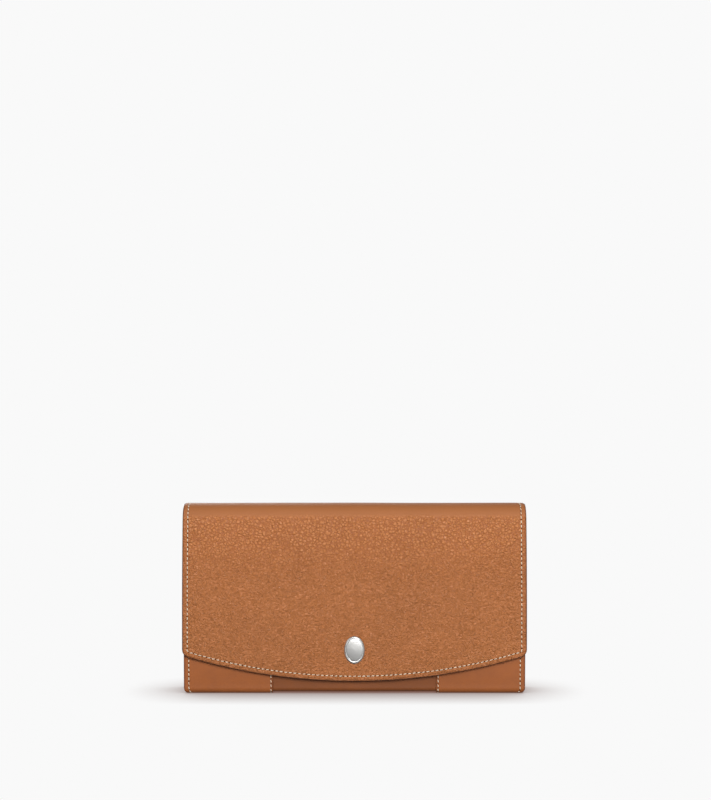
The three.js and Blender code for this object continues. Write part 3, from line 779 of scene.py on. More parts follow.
def weave_group():
    """Plain weave: warp and weft threads that pass over each other in turn. Vector is in mm."""
    inputs = [("Vector", VECTOR, None), ("Threads", FLOAT, 2.6)]
    nodes, given, out = new_group("plain_weave", inputs, [("Height", FLOAT), ("Warp", FLOAT)])
    scaled = nodes.vectors("SCALE", given["Vector"], given["Threads"])
    parts = nodes.add("ShaderNodeSeparateXYZ", {0: scaled}).outputs
    across = nodes.math("ABSOLUTE", nodes.math("SINE", nodes.math("MULTIPLY", parts[0], math.pi)))
    along = nodes.math("ABSOLUTE", nodes.math("SINE", nodes.math("MULTIPLY", parts[1], math.pi)))
    square = nodes.math("ADD", nodes.math("FLOOR", parts[0]), nodes.math("FLOOR", parts[1]))
    over = nodes.math("GREATER_THAN", nodes.math("FRACT", nodes.math("MULTIPLY", square, 0.5)), 0.25)
    warp = nodes.math("MULTIPLY", across, nodes.math("MULTIPLY_ADD", over, 0.6, 0.4))
    weft = nodes.math("MULTIPLY", along, nodes.math("MULTIPLY_ADD", over, -0.6, 1.0))
    nodes.put(out, "Height", nodes.math("MAXIMUM", warp, weft))
    nodes.put(out, "Warp", over)
    return nodes.tree


def brushed_group():
    """Fine lines along X and a faint clouding, for satin metal. Vector is in mm."""
    outputs = [("Lines", FLOAT), ("Cloud", FLOAT)]
    nodes, given, out = new_group("brushed_lines", [("Vector", VECTOR, None)], outputs)
    lines = nodes.noise(nodes.stretch(given["Vector"], (0.7, 26.0, 26.0)), 1.0, 3.0, 0.7)
    nodes.put(out, "Lines", lines)
    nodes.put(out, "Cloud", nodes.noise(given["Vector"], 0.6, 4.0, 0.6))
    return nodes.tree


EFFECTS = {}


def effect(nodes, name, sockets):
    """Places a node group in a material."""
    makers = {
        "pebble": pebble_group, "creases": crease_group, "pores": pore_group, "rim": rim_group,
        "drift": drift_group, "weave": weave_group, "brushed": brushed_group,
    }
    if name not in EFFECTS:
        EFFECTS[name] = makers[name]()
    node = nodes.add("ShaderNodeGroup", node_tree=EFFECTS[name])
    for key, value in sockets.items():
        nodes.put(node, key, value)
    return node.outputs


def new_material(name):
    """An empty node material, as (material, nodes, shader)."""
    material = bpy.data.materials.new(name)
    material.use_nodes = True
    material.node_tree.nodes.clear()
    nodes = Nodes(material.node_tree)
    shader = nodes.add("ShaderNodeBsdfPrincipled")
    nodes.add("ShaderNodeOutputMaterial", {"Surface": shader.outputs[0]})
    return material, nodes, shader


def flat_mm(nodes):
    """The piece's own flat map, in millimetres."""
    flat = nodes.add("ShaderNodeUVMap", uv_map="flat").outputs[0]
    return nodes.vectors("SCALE", flat, 1 / MM)


def place_mm(nodes):
    """The place in the frame, in millimetres."""
    place = nodes.add("ShaderNodeTexCoord").outputs["Object"]
    return nodes.vectors("SCALE", place, 1 / MM)


def finish_bump(nodes, shader, height, distance_mm):
    """Feeds a height to the shader's normal."""
    bump = nodes.add("ShaderNodeBump", {"Strength": 1.0, "Distance": distance_mm * MM, "Height": height})
    nodes.put(shader, "Normal", bump.outputs[0])


# ---------------------------------------------------------------- materials


def grained_leather():
    """Pebbled outer leather. Its grain is flattened over the bends and finer towards the flap's foot. Its colour holds
    painted shade in the creases and over the bends, and painted highlights on the pebble tops.
    """
    material, nodes, shader = new_material("grained_leather")
    place = flat_mm(nodes)
    grain = effect(nodes, "pebble", {"Vector": place, "Pebble": 1.62})
    creases = effect(nodes, "creases", {"Vector": place})
    drift = effect(nodes, "drift", {"Vector": place})
    rim = effect(nodes, "rim", {"Crease At": 900.0})
    outline = flap_outline()
    bend_end = outline.starts[4] / MM
    along = nodes.add("ShaderNodeSeparateXYZ", {0: place}).outputs[1]
    below_bend = nodes.between(along, bend_end - 4.0, bend_end - 1.0)
    on_back = nodes.between(along, outline.starts[1] / MM - 6, outline.starts[1] / MM, 1.0, 0.0)
    pressed = nodes.math("MAXIMUM", below_bend, nodes.math("MULTIPLY", on_back, 0.62))
    pebbled = nodes.between(along, bend_end + 6, bend_end + 40, 1.0, 0.26)
    patchy = nodes.math("MULTIPLY_ADD", drift["Mottle"], 0.12, 0.92)
    strength = nodes.math("MULTIPLY", nodes.math("MULTIPLY", pressed, pebbled), patchy)
    drawn = nodes.math("MULTIPLY", pressed, nodes.between(along, bend_end + 2, bend_end + 34, 0.15, 0.55))
    fine = nodes.noise(place, 1.6, 1.0, 0.5)
    height = nodes.math("MULTIPLY", grain["Height"], nodes.math("MULTIPLY_ADD", strength, 0.94, 0.06))
    height = nodes.math("ADD", height, nodes.math("MULTIPLY", creases["Height"], drawn))
    height = nodes.math("MULTIPLY_ADD", fine, 0.10, height)
    base = rgba(colours().grained)
    tone = nodes.mix(drift["Tone"], rgba(colours().grained, 0.93), rgba(colours().grained, 1.06))
    warmer = (base[0] * 1.05, base[1] * 1.10, base[2] * 1.12, 1.0)
    tone = nodes.mix(nodes.math("MULTIPLY", drift["Mottle"], 0.35), tone, warmer)
    # dark is the colour of the painted shade in the pebble creases and in the drawn creases' valleys below; it also
    # darkens the burnished edge.
    dark = (base[0] * 0.62, base[1] * 0.50, base[2] * 0.42, 1.0)
    # Painted shade: the pebbles' creases are darkened, most where the pebbles show strongest.
    painted_crease_shade = nodes.math("MULTIPLY", grain["Crease"], nodes.math("MULTIPLY", strength, 0.70))
    tone = nodes.mix(painted_crease_shade, tone, dark)
    # Painted highlight: the pebble tops are lightened and paled, strongest on the upper flap, where the light catches
    # them.
    painted_highlight_tone = (base[0] * 1.38, base[1] * 1.58, base[2] * 1.90, 1.0)
    tops = nodes.math("MULTIPLY", grain["Top"], nodes.math("MULTIPLY", strength, 0.58))
    tone = nodes.mix(tops, tone, painted_highlight_tone)
    # Painted shade in the valleys of the drawn creases.
    painted_valley_shade = nodes.between(creases["Height"], 0.0, 0.45, 0.42, 0.0)
    tone = nodes.mix(nodes.math("MULTIPLY", painted_valley_shade, drawn), tone, dark)
    tone = nodes.mix(nodes.math("MULTIPLY", rim["Burnish"], 0.45), tone, dark)
    # Painted shade: the bends over the top are darkened towards 0.6 of the grained colour, standing in for the dim
    # light from above; the back gets a smaller share of it.
    smooth_part = nodes.math("SUBTRACT", 1.0, pressed)
    tone = nodes.mix(nodes.math("MULTIPLY", smooth_part, 0.68), tone, rgba(colours().grained, 0.60))
    nodes.put(shader, "Base Color", tone)
    rough = nodes.math("MULTIPLY_ADD", drift["Mottle"], 0.05, nodes.between(height, 0.0, 0.8, 0.50, 0.32))
    rough = nodes.math("MULTIPLY_ADD", smooth_part, 0.16, rough)
    nodes.put(shader, "Roughness", rough)
    shader.inputs["Specular IOR Level"].default_value = 0.5
    finish_bump(nodes, shader, height, 0.62)
    return material


def smooth_leather(name, base, bump=0.035, line_at=900.0):
    """Smooth leather with faint pores, a burnished edge and, at line_at millimetres, a pressed crease."""
    material, nodes, shader = new_material(name)
    place = flat_mm(nodes)
    pores = effect(nodes, "pores", {"Vector": place})
    drift = effect(nodes, "drift", {"Vector": place})
    rim = effect(nodes, "rim", {"Crease At": line_at})
    dark = (base[0] * 0.58, base[1] * 0.46, base[2] * 0.40, 1.0)
    tone = nodes.mix(drift["Tone"], rgba(base, 0.92), rgba(base, 1.07))
    tone = nodes.mix(nodes.math("MULTIPLY", drift["Mottle"], 0.16), tone, dark)
    tone = nodes.mix(nodes.math("MULTIPLY", pores["Pores"], 0.22), tone, dark)
    tone = nodes.mix(nodes.math("MULTIPLY", rim["Burnish"], 0.40), tone, dark)
    tone = nodes.mix(nodes.math("MULTIPLY", rim["Line"], 0.45), tone, dark)
    nodes.put(shader, "Base Color", tone)
    nodes.put(shader, "Roughness", nodes.between(drift["Mottle"], 0.0, 1.0, 0.42, 0.52))
    shader.inputs["Specular IOR Level"].default_value = 0.36
    height = nodes.math("MULTIPLY_ADD", rim["Line"], -4.0, pores["Height"])
    finish_bump(nodes, shader, height, bump)
    return material


def edge_paint():
    """Glossy paint on cut edges, laid on by hand, so that it is uneven."""
    material, nodes, shader = new_material("edge_paint")
    place = place_mm(nodes)
    uneven = nodes.noise(place, 0.9, 4.0, 0.6)
    worn = nodes.between(nodes.noise(place, 0.12, 3.0, 0.6), 0.52, 0.74)
    base = colours().edge
    tone = nodes.mix(uneven, rgba(base, 0.8), rgba(base, 1.25))
    tone = nodes.mix(nodes.math("MULTIPLY", worn, 0.5), tone, rgba(colours().grained, 0.75))
    nodes.put(shader, "Base Color", tone)
    nodes.put(shader, "Roughness", nodes.between(uneven, 0.2, 0.8, 0.30, 0.45))
    finish_bump(nodes, shader, uneven, 0.06)
    return material


def woven_lining(name, base, threads=2.6):
    """Plain-woven cloth with slubs."""
    material, nodes, shader = new_material(name)
    place = flat_mm(nodes)
    weave = effect(nodes, "weave", {"Vector": place, "Threads": threads})
    drift = effect(nodes, "drift", {"Vector": place})
    slub = nodes.noise(nodes.stretch(place, (0.25, 3.0, 1.0)), 1.0, 3.0, 0.6)
    tone = nodes.mix(weave["Height"], rgba(base, 0.55), rgba(base, 1.08))
    tone = nodes.mix(nodes.math("MULTIPLY", weave["Warp"], 0.25), tone, rgba(base, 1.22))
    tone = nodes.mix(nodes.between(slub, 0.35, 0.75, 0.0, 0.30), tone, rgba(base, 0.75))
    tone = nodes.mix(nodes.math("MULTIPLY", drift["Tone"], 0.15), tone, rgba(base, 0.85))
    nodes.put(shader, "Base Color", tone)
    nodes.put(shader, "Roughness", nodes.between(weave["Height"], 0.0, 1.0, 0.95, 0.80))
    shader.inputs["Sheen Weight"].default_value = 0.25
    shader.inputs["Sheen Roughness"].default_value = 0.5
    finish_bump(nodes, shader, weave["Height"], 0.09)
    return material


def thread_material():
    """Waxed thread. The flat map runs along each stitch and round it, so the plies twist round it."""
    material, nodes, shader = new_material("waxed_thread")
    flat = nodes.add("ShaderNodeUVMap", uv_map="flat").outputs[0]
    parts = nodes.add("ShaderNodeSeparateXYZ", {0: flat}).outputs
    twist = nodes.math("ADD", nodes.math("MULTIPLY", parts[0], 4.0), parts[1])
    ply = nodes.math("ABSOLUTE", nodes.math("SINE", nodes.math("MULTIPLY", twist, math.pi)))
    soil = nodes.noise(place_mm(nodes), 0.25, 3.0, 0.6)
    base = colours().thread
    tone = nodes.mix(ply, rgba(base, 0.66), rgba(base, 1.05))
    tone = nodes.mix(nodes.between(soil, 0.4, 0.8, 0.0, 0.4), tone, rgba(base, 0.78))
    nodes.put(shader, "Base Color", tone)
    nodes.put(shader, "Roughness", nodes.between(ply, 0.0, 1.0, 0.75, 0.55))
    finish_bump(nodes, shader, ply, 0.05)
    return material


def needle_hole():
    """The shadowed inside of a needle hole."""
    material, nodes, shader = new_material("needle_hole")
    depth = nodes.noise(place_mm(nodes), 3.0, 2.0, 0.5)
    nodes.put(shader, "Base Color", nodes.mix(depth, (0.030, 0.011, 0.005, 1), (0.075, 0.028, 0.012, 1)))
    nodes.put(shader, "Roughness", nodes.between(depth, 0.0, 1.0, 0.85, 1.0))
    return material


def satin_metal(name, base, lines=0.012, low_rough=0.32, high_rough=0.46):
    """Plated metal with a brushed satin face and a faint clouding."""
    material, nodes, shader = new_material(name)
    place = place_mm(nodes)
    brushed = effect(nodes, "brushed", {"Vector": place})
    tone = nodes.mix(brushed["Cloud"], rgba(base, 0.90), rgba(base, 1.05))
    tone = nodes.mix(nodes.between(brushed["Lines"], 0.3, 0.7, 0.0, 0.25), tone, rgba(base, 0.82))
    nodes.put(shader, "Base Color", tone)
    nodes.put(shader, "Metallic", 1.0)
    nodes.put(shader, "Roughness", nodes.between(brushed["Lines"], 0.3, 0.7, low_rough, high_rough))
    finish_bump(nodes, shader, brushed["Lines"], lines)
    return material


def fibre_board():
    """Pressed leather-fibre board: mottled flecks."""
    material, nodes, shader = new_material("fibre_board")
    place = place_mm(nodes)
    flecks = nodes.noise(nodes.stretch(place, (0.5, 1.6, 1.6)), 2.2, 5.0, 0.7)
    tone = nodes.mix(flecks, (0.16, 0.085, 0.040, 1), (0.34, 0.21, 0.12, 1))
    nodes.put(shader, "Base Color", tone)
    nodes.put(shader, "Roughness", nodes.between(flecks, 0.2, 0.8, 0.98, 0.85))
    finish_bump(nodes, shader, flecks, 0.10)
    return material


MADE = {}


def material(name):
    """The wallet's materials, each made once."""
    tint = colours()
    makers = {
        "grained": grained_leather,
        "body": lambda: smooth_leather("body_leather", tint.body),
        # Painted shade: the middle panel's leather is the body leather darkened to 0.66, standing in for the shade
        # under the flap.
        "middle": lambda: smooth_leather("middle_leather", [0.66 * part for part in tint.body]),
        "inner": lambda: smooth_leather("inner_leather", tint.inner),
        "strip": lambda: smooth_leather("card_strip_leather", tint.inner, 0.03, 1.3),
        "edge": edge_paint,
        "lining": lambda: woven_lining("lining_cloth", tint.lining),
        "tape": lambda: woven_lining("zip_tape_cloth", tint.tape, 1.9),
        "thread": thread_material,
        "hole": needle_hole,
        "ornament": lambda: satin_metal("ornament_metal", tint.metal),
        "snap": lambda: satin_metal("snap_metal", tint.metal, 0.008, 0.18, 0.28),
        "zip": lambda: satin_metal("zip_metal", tint.metal, 0.006, 0.14, 0.24),
        "board": fibre_board,
    }
    if name not in MADE:
        MADE[name] = makers[name]()
    return MADE[name]


def leather_set(face):
    """Materials of a sheet: its face, its back and its painted edge."""
    return [material(face), material(face), material("edge")]


# ---------------------------------------------------------------- bending


def bend_rear(made):
    """Bends a piece over the fold at the top of the back."""
    lean = math.radians(20)
    along = np.array([0.0, -math.sin(lean), math.cos(lean)])
    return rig.blend(made, "body", "flap_top", REAR_FOLD - 6 * MM * along, REAR_FOLD + 7 * MM * along)


def bend_front(made):
    """Bends a piece over the fold at the top of the front."""
    along = np.array([0.0, -1.0, -1.0]) / math.sqrt(2)
    start, end = FRONT_FOLD - 6.5 * MM * along, FRONT_FOLD + 6.5 * MM * along
    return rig.blend(made, "flap_top", "flap_front", start, end)


def bend_foot(made):
    """Bends a piece over the fold at the foot of the front wall."""
    up = np.array([0.0, 0.0, 1.0])
    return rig.blend(made, "body", "front_wall", FRONT_FOOT - 1.6 * MM * up, FRONT_FOOT + 4.5 * MM * up)


# ---------------------------------------------------------------- outer leather and linings


def smoothstep(value, first, last):
    """0 before first, 1 after last and a smooth change between."""
    t = np.clip((np.asarray(value, float) - first) / (last - first), 0, 1)
    return t * t * (3 - 2 * t)


def half_width(outline, s, inset=0.0):
    """The body's half width up the back, and the flap's past the rear bend."""
    share = smoothstep(s, outline.starts[1], outline.starts[2])
    return BODY_HALF + (FLAP_HALF - BODY_HALF) * share - inset


def seam_in_top(outline):
    """The length at which the two halves of the flap's sheets meet, in the middle of its flat top."""
    return (outline.starts[2] + outline.starts[3]) / 2


def back_sheet(name, depth, thickness, foot, inset, materials):
    """The wallet's back and half of its top, as one sheet. x runs over -1..1 of its half width at s."""
    outline = flap_outline()
    step = shape().mesh_step
    end = seam_in_top(outline)
    rows = outline.rows(step)
    rows = rows[(rows > foot + EDGE_CELLS[-1] + step / 2) & (rows < end - step / 2)]
    rows = np.concatenate([foot + EDGE_CELLS, rows, [end]])
    columns = spread(-FLAP_HALF, FLAP_HALF, step) / FLAP_HALF
    share, s = np.meshgrid(columns, rows, indexing="ij")
    half = half_width(outline, s, inset)
    x = share * half
    rim = np.minimum(half - np.abs(x), s - foot)
    lift = flap_lift(x, s, rim)
    middle, normals = sheet_on(outline, x, s, depth + thickness / 2, lift)
    made = slab(name, middle, normals, thickness, np.stack([x, s], -1), rim, materials, ("end",))
    return bend_rear(made)


def flap_lift(x, s, rim):
    """Waviness and the pull of the flap's seam, as a height over the ideal surface."""
    margin = stitching().margin
    calm = smoothstep(rim, 0.0, 8 * MM)
    return shape().waviness * ripple(x, s) * (0.35 + 0.65 * calm) + seam_dip(rim, margin)


def front_flap_sheet(name, depth, thickness, inset, materials):
    """Half of the wallet's top and the flap's front, as one sheet that ends in a curved edge.

    Row s of the lowest stretch moves up to s - drop(x) * smoothstep, so that the last rows follow the edge.
    """
    outline = flap_outline()
    step = shape().mesh_step
    start = seam_in_top(outline)
    edge = FlapEdge(outline, FLAP_HALF, inset)
    rows = outline.rows(step)
    rows = rows[(rows > start + step / 2) & (rows < edge.low - EDGE_CELLS[-1] - step / 2)]
    rows = np.concatenate([[start], rows, (edge.low - EDGE_CELLS)[::-1]])
    columns = spread(-edge.half, edge.half, step)
    x, base = np.meshgrid(columns, rows, indexing="ij")
    drop = edge.low - edge.ends(x)
    s = base - drop * smoothstep(base, outline.starts[4] + 6 * MM, edge.low - 8 * MM)
    rim = edge.distance(x, s)
    middle, normals = sheet_on(outline, x, s, depth + thickness / 2, flap_lift(x, s, rim))
    made = slab(name, middle, normals, thickness, np.stack([x, s], -1), rim, materials, ("start",))
    return bend_front(made)


def make_outer_leather():
    """The grained leather: up the back, over the top and down the flap."""
    thickness = shape().grain_leather
    finish = leather_set("grained")
    back = back_sheet("outer_leather_back", 0.0, thickness, 0.0, 0.0, finish)
    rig.replaces(back, "back_panel")
    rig.slot(back, "grained_leather")
    front = front_flap_sheet("outer_leather_flap", 0.0, thickness, 0.0, finish)
    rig.replaces(front, "flap_top_leather", "flap_front_leather")
    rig.slot(front, "grained_leather")


def make_outer_linings():
    """The leather lining of the back and of the flap, with its stiffener inside."""
    depth = shape().grain_leather + 0.05 * MM
    thickness = BACK_LINING_DEPTH - depth
    foot = 0.6 * MM
    finish = [material("lining"), material("inner"), material("edge")]
    back = back_sheet("back_lining_sheet", depth, thickness, foot, 0.4 * MM, finish)
    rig.replaces(back, "back_board", "back_lining")
    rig.slot(back, "inner_leather")
    front = front_flap_sheet("flap_lining_sheet", depth, thickness, 0.9 * MM, finish)
    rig.replaces(front, "flap_top_lining", "flap_board", "flap_front_lining")
    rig.slot(front, "inner_leather")


# ---------------------------------------------------------------- front wall


def foot_draw(x, z):
    """How far the body's side edge draws in at its rounded lower corner."""
    radius = FOOT_CORNER
    rise = np.clip(radius - z, 0, radius)
    drop = radius - np.sqrt(radius**2 - rise**2)
    return drop * np.clip((np.abs(x) - (BODY_HALF - 12 * MM)) / (12 * MM), 0, 1) * np.sign(x)


def front_place(outline, x, s, depth, lift=0.0):
    """Points and normals on a sheet that runs down the front wall and under the base."""
    points, normals = sheet_on(outline, x, s, depth, lift)
    points[..., 0] -= foot_draw(x, points[..., 2])
    return points, normals


def front_sheet(name, outer_depth, thickness, left, right, sewn_inner=False, face="body"):
    """A panel of the front wall from its top edge to the base's back edge, between left and right.

    sewn_inner says whether a seam runs along the edge nearest the middle.
    """
    outline = front_outline(outer_depth)
    step = shape().mesh_step
    rows = outline.rows(step, math.radians(12))
    ends = EDGE_CELLS[-1] + step / 2
    rows = rows[(rows > ends) & (rows < outline.length - ends)]
    rows = np.concatenate([EDGE_CELLS, rows, (outline.length - EDGE_CELLS)[::-1]])
    columns = spread(left, right, step)
    x, s = np.meshgrid(columns, rows, indexing="ij")
    from_ends = np.minimum(s, outline.length - s)
    from_sides = np.minimum(x - left, right - x)
    rim = np.minimum(from_sides, from_ends)
    lift = front_lift(x, s, rim, min(abs(left), abs(right)) if sewn_inner else None)
    middle, normals = front_place(outline, x, s, thickness / 2, lift)
    return slab(name, middle, normals, thickness, np.stack([x, s], -1), rim, leather_set(face))


def front_lift(x, s, rim, inner_edge):
    """Waviness of the front wall's panels and the pull of their seams."""
    sewing = stitching()
    groove = np.exp(-(((BODY_HALF - np.abs(x) - sewing.margin) / (0.5 * MM)) ** 2))
    groove = np.maximum(groove, np.exp(-(((s - SEAM_FROM_TOP) / (0.5 * MM)) ** 2)))
    if inner_edge is not None:
        from_inner = np.abs(x) - inner_edge - sewing.overlay_margin
        groove = np.maximum(groove, np.exp(-((from_inner / (0.45 * MM)) ** 2)))
    roll = np.exp(-np.maximum(rim, 0) / (0.5 * MM))
    return shape().waviness * 0.5 * ripple(x, s + 0.03) - shape().edge_dip * (0.8 * groove + 0.5 * roll)


def make_front_wall():
    """The front wall's side and middle panels, which wrap round its foot and under the base."""
    sizes = shape()
    edge = high("front_side_panel_right")[0], low("front_side_panel_right")[0]
    outer = overlay_depth()
    for side, (left, right) in {"left": (-edge[0], -edge[1]), "right": (edge[1], edge[0])}.items():
        panel = front_sheet(f"front_side_leather_{side}", outer, sizes.overlay_leather, left, right, True)
        bend_foot(panel)
        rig.replaces(panel, f"front_side_panel_{side}", f"base_overlay_{side}")
        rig.slot(panel, "body_leather")
    extent = -BODY_HALF, BODY_HALF
    # The middle panel takes the darkened body leather, painted shade for the shade under the flap.
    middle = front_sheet("front_middle_leather", panel_depth(), sizes.panel_leather, *extent, face="middle")
    bend_foot(middle)
    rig.replaces(middle, "front_center_panel", "base_panel")
    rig.slot(middle, "body_leather")
    extent = BODY_HALF - 0.4 * MM, FRONT_LINING_FOOT, wall_top()
    lining = crown_sheet("front_lining_sheet", lining_depth(), FRONT_LINING_THICKNESS, *extent, "lining")
    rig.ride(lining, "front_wall")
    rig.replaces(lining, "front_board", "front_lining")
    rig.slot(lining, "lining_fabric")


def crown_outline(depth, bottom, top):
    """A layer of the front wall at a depth, from its top down to its bottom."""
    sizes = shape()
    centre, _, _ = crown()
    angles = float(crown_angle(top, depth)), float(crown_angle(bottom, depth))
    return Outline([("arc", centre, sizes.crown_radius - depth, *angles)])


def crown_sheet(name, depth, thickness, half, bottom, top, face):
    """A flat-cut layer inside the front wall, curved with it. face names its material."""
    outline = crown_outline(depth, bottom, top)
    step = shape().mesh_step
    columns, rows = spread(-half, half, 1.6 * step), spread(0.0, outline.length, 1.6 * step)
    x, s = np.meshgrid(columns, rows, indexing="ij")
    rim = np.minimum(half - np.abs(x), np.minimum(s, outline.length - s))
    drop = top - wall_top()
    lift = shape().waviness * 0.5 * ripple(x, s - drop + 0.03)
    middle, normals = sheet_on(outline, x, s, thickness / 2, lift)
    return slab(name, middle, normals, thickness, np.stack([x, s], -1), rim, leather_set(face))


# ---------------------------------------------------------------- inside


def upright_sheet(name, y, thickness, half, bottom, top, face, bow):
    """A flat upright layer of the back wall, on the plane y, with a slightly bowed top edge."""
    step = 1.6 * shape().mesh_step
    x, s = np.meshgrid(spread(-half, half, step), spread(0.0, top - bottom, step), indexing="ij")
    z = bottom + s - bow * (x / half) ** 2 * smoothstep(s, 0.5 * (top - bottom), top - bottom)
    rim = np.minimum(half - np.abs(x), np.minimum(s, top - bottom - s))
    wave = shape().waviness * ripple(x, z - low("back_panel")[2])
    middle = np.stack([x, y + wave, z], -1)
    normals = np.broadcast_to([0.0, 1.0, 0.0], middle.shape)
    return slab(name, middle, normals, thickness, np.stack([x, z], -1), rim, leather_set(face))


def make_card_strips():
    """Four card strips on the back wall and two on the front wall, each lower than the one behind."""
    thin = shape().thin_leather
    for i in range(1, 5):
        node = f"card_strip_back_{i}"
        lowest, highest = low(node), high(node)
        y = (lowest[1] + highest[1]) / 2
        extent = highest[0], lowest[2], highest[2]
        made = upright_sheet(f"card_leather_back_{i}", y, thin, *extent, "strip", 0.8 * MM)
        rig.ride(made, "body")
        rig.replaces(made, node)
        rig.slot(made, "inner_leather")
    first = lining_depth() + FRONT_LINING_THICKNESS + LAYER_GAP
    for i in range(1, 3):
        node = f"card_strip_front_{i}"
        depth = first + (i - 1) * (thin + LAYER_GAP)
        extent = high(node)[0], low(node)[2], high(node)[2]
        made = crown_sheet(f"card_leather_front_{i}", depth, thin, *extent, "strip")
        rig.ride(made, "front_wall")
        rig.replaces(made, node)
        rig.slot(made, "inner_leather")


def rounded_line(points, radius, count=7):
    """A polyline whose corners are quadratic curves that start and end radius away from them."""
    points = np.asarray(points, float)
    t = np.linspace(0, 1, count)[:, None]
    out = [points[:1]]
    for before, corner, after in zip(points[:-2], points[1:-1], points[2:]):
        reach = [min(radius, 0.45 * np.linalg.norm(other - corner)) for other in (before, after)]
        start = corner + unit(before - corner) * reach[0]
        end = corner + unit(after - corner) * reach[1]
        out.append((1 - t) ** 2 * start + 2 * t * (1 - t) * corner + t**2 * end)
    out.append(points[-1:])
    return np.concatenate(out)


def make_gussets():
    """A gusset at each side: a pleat to the back wall, a ridge on the coin pocket and a pleat to the front.

    Each stretch is a rounded plan line carried up in z. Forward of the pocket it follows the front's crown.
    """
    sizes = shape()
    half = 0.35 * MM
    lowest, highest = low("gusset_right"), high("gusset_right")
    pocket_low, pocket_high = low("coin_pocket_shell"), high("coin_pocket_shell")
    side, back, front = highest[0], highest[1] - half, lowest[1] + half
    ridge, tip = pocket_high[0] + 0.3 * MM + half, lowest[0] + 0.7 * MM
    strips_back = low("card_strip_back_4")[1]
    strips_front = front + 0.75 * MM
    flange = side - 3 * MM
    deep = BACK_LINING_DEPTH + 3.7 * MM
    pocket_front, pocket_back = pocket_low[1], pocket_high[1]
    ridge_front, ridge_back = pocket_front + 0.4 * MM, pocket_back - 0.4 * MM
    back_line = [
        (flange, back), (side - half, back), (side - half, strips_back - half),
        (tip, (strips_back + pocket_back) / 2), (ridge, pocket_back + half), (ridge, ridge_back),
    ]
    ridge_line = [(ridge, ridge_back), (ridge, ridge_front)]
    front_line = [
        (ridge, ridge_front), (ridge, pocket_front - half), (tip, (strips_front + pocket_front) / 2),
        (side - half, strips_front + half), (side - half, front), (flange, front),
    ]
    z = spread(lowest[2], highest[2], 1.6 * sizes.mesh_step)
    retreat = crown_y(z, deep) - crown_y(sizes.crown_height, deep)
    stretches = {
        "back": (back_line, ("end",)),
        "ridge": (ridge_line, ("start", "end")),
        "front": (front_line, ("start",)),
    }
    for sign, hand in ((-1, "left"), (1, "right")):
        for label, (points, flat) in stretches.items():
            line = rounded_line(points, 2.2 * MM) if label != "ridge" else np.linspace(*np.array(points), 6)
            run = np.concatenate([[0], np.cumsum(np.linalg.norm(np.diff(line, axis=0), axis=1))])
            forward = unit(np.gradient(line, axis=0))
            share = np.clip((pocket_low[1] - line[:, 1]) / (pocket_low[1] - front), 0, 1)
            rows, _ = np.meshgrid(z, run, indexing="ij")
            y = line[None, :, 1] + share[None, :] * retreat[:, None]
            middle = np.stack([np.broadcast_to(sign * line[None, :, 0], y.shape), y, rows], -1)
            flat_normal = np.stack([sign * forward[:, 1], -forward[:, 0], np.zeros(len(line))], -1)
            normals = np.broadcast_to(flat_normal[None], middle.shape)
            uv = np.stack([np.broadcast_to(run[None, :], y.shape), rows], -1)
            rim = np.broadcast_to(np.minimum(z - z[0], z[-1] - z)[:, None], y.shape)
            name = f"gusset_{label}_{hand}"
            made = slab(name, middle, normals, 2 * half, uv, rim, leather_set("inner"), flat)
            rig.slot(made, "inner_leather")
            if label == "back":
                bend_back_pleat(made, pocket_back)
                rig.replaces(made, f"gusset_{hand}")
            elif label == "front":
                bend_front_pleat(made, ridge_front)
            else:
                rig.ride(made, "coin_pocket")


def crown_y(z, depth):
    """Where a layer of the front lies at height z."""
    sizes = shape()
    radius = sizes.crown_radius - depth
    return FLAP_FACE + sizes.crown_radius - np.sqrt(radius**2 - (z - sizes.crown_height) ** 2)


def bend_back_pleat(made, pocket_back):
    """Bends a back pleat between the body and the coin pocket."""
    start, end = np.array([0, 13 * MM, 0]), np.array([0, pocket_back, 0])
    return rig.blend(made, "body", "coin_pocket", start, end)


def bend_front_pleat(made, pocket_front):
    """Bends a front pleat between the body and the front wall, half of whose turn the coin pocket takes."""
    reach = 7 * MM
    start, end = np.array([0, pocket_front + reach, 0]), np.array([0, pocket_front - reach, 0])
    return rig.blend(made, "body", "front_wall", start, end)


def pocket_outline(front, back, bottom, top, corner):
    """Down the pocket's front, round its foot and up its back."""
    return Outline([
        ("line", (front, top), (front, bottom + corner)),
        ("arc", (front + corner, bottom + corner), corner, math.pi, 1.5 * math.pi),
        ("line", (front + corner, bottom), (back - corner, bottom)),
        ("arc", (back - corner, bottom + corner), corner, 1.5 * math.pi, 2 * math.pi),
        ("line", (back, bottom + corner), (back, top)),
    ])


def trough(name, node, thickness, corner, finish):
    """A folded sheet, open at the top, in a node's box."""
    lowest, highest = low(node), high(node)
    outline = pocket_outline(lowest[1], highest[1], lowest[2], highest[2], corner)
    step = 1.6 * shape().mesh_step
    rows = outline.rows(step, math.radians(15))
    rows = rows[(rows > EDGE_CELLS[-1] + step / 2) & (rows < outline.length - EDGE_CELLS[-1] - step / 2)]
    rows = np.concatenate([EDGE_CELLS, rows, (outline.length - EDGE_CELLS)[::-1]])
    half = highest[0]
    x, s = np.meshgrid(spread(-half, half, step), rows, indexing="ij")
    rim = np.minimum(half - np.abs(x), np.minimum(s, outline.length - s))
    from_top = np.minimum(s, outline.length - s)
    lift = -0.10 * MM * np.exp(-(((from_top - SEAM_FROM_TOP) / (0.5 * MM)) ** 2))
    middle, normals = sheet_on(outline, x, s, thickness / 2, lift)
    made = slab(name, middle, normals, thickness, np.stack([x, s], -1), rim, finish)
    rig.ride(made, "coin_pocket")
    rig.replaces(made, node)
    return made


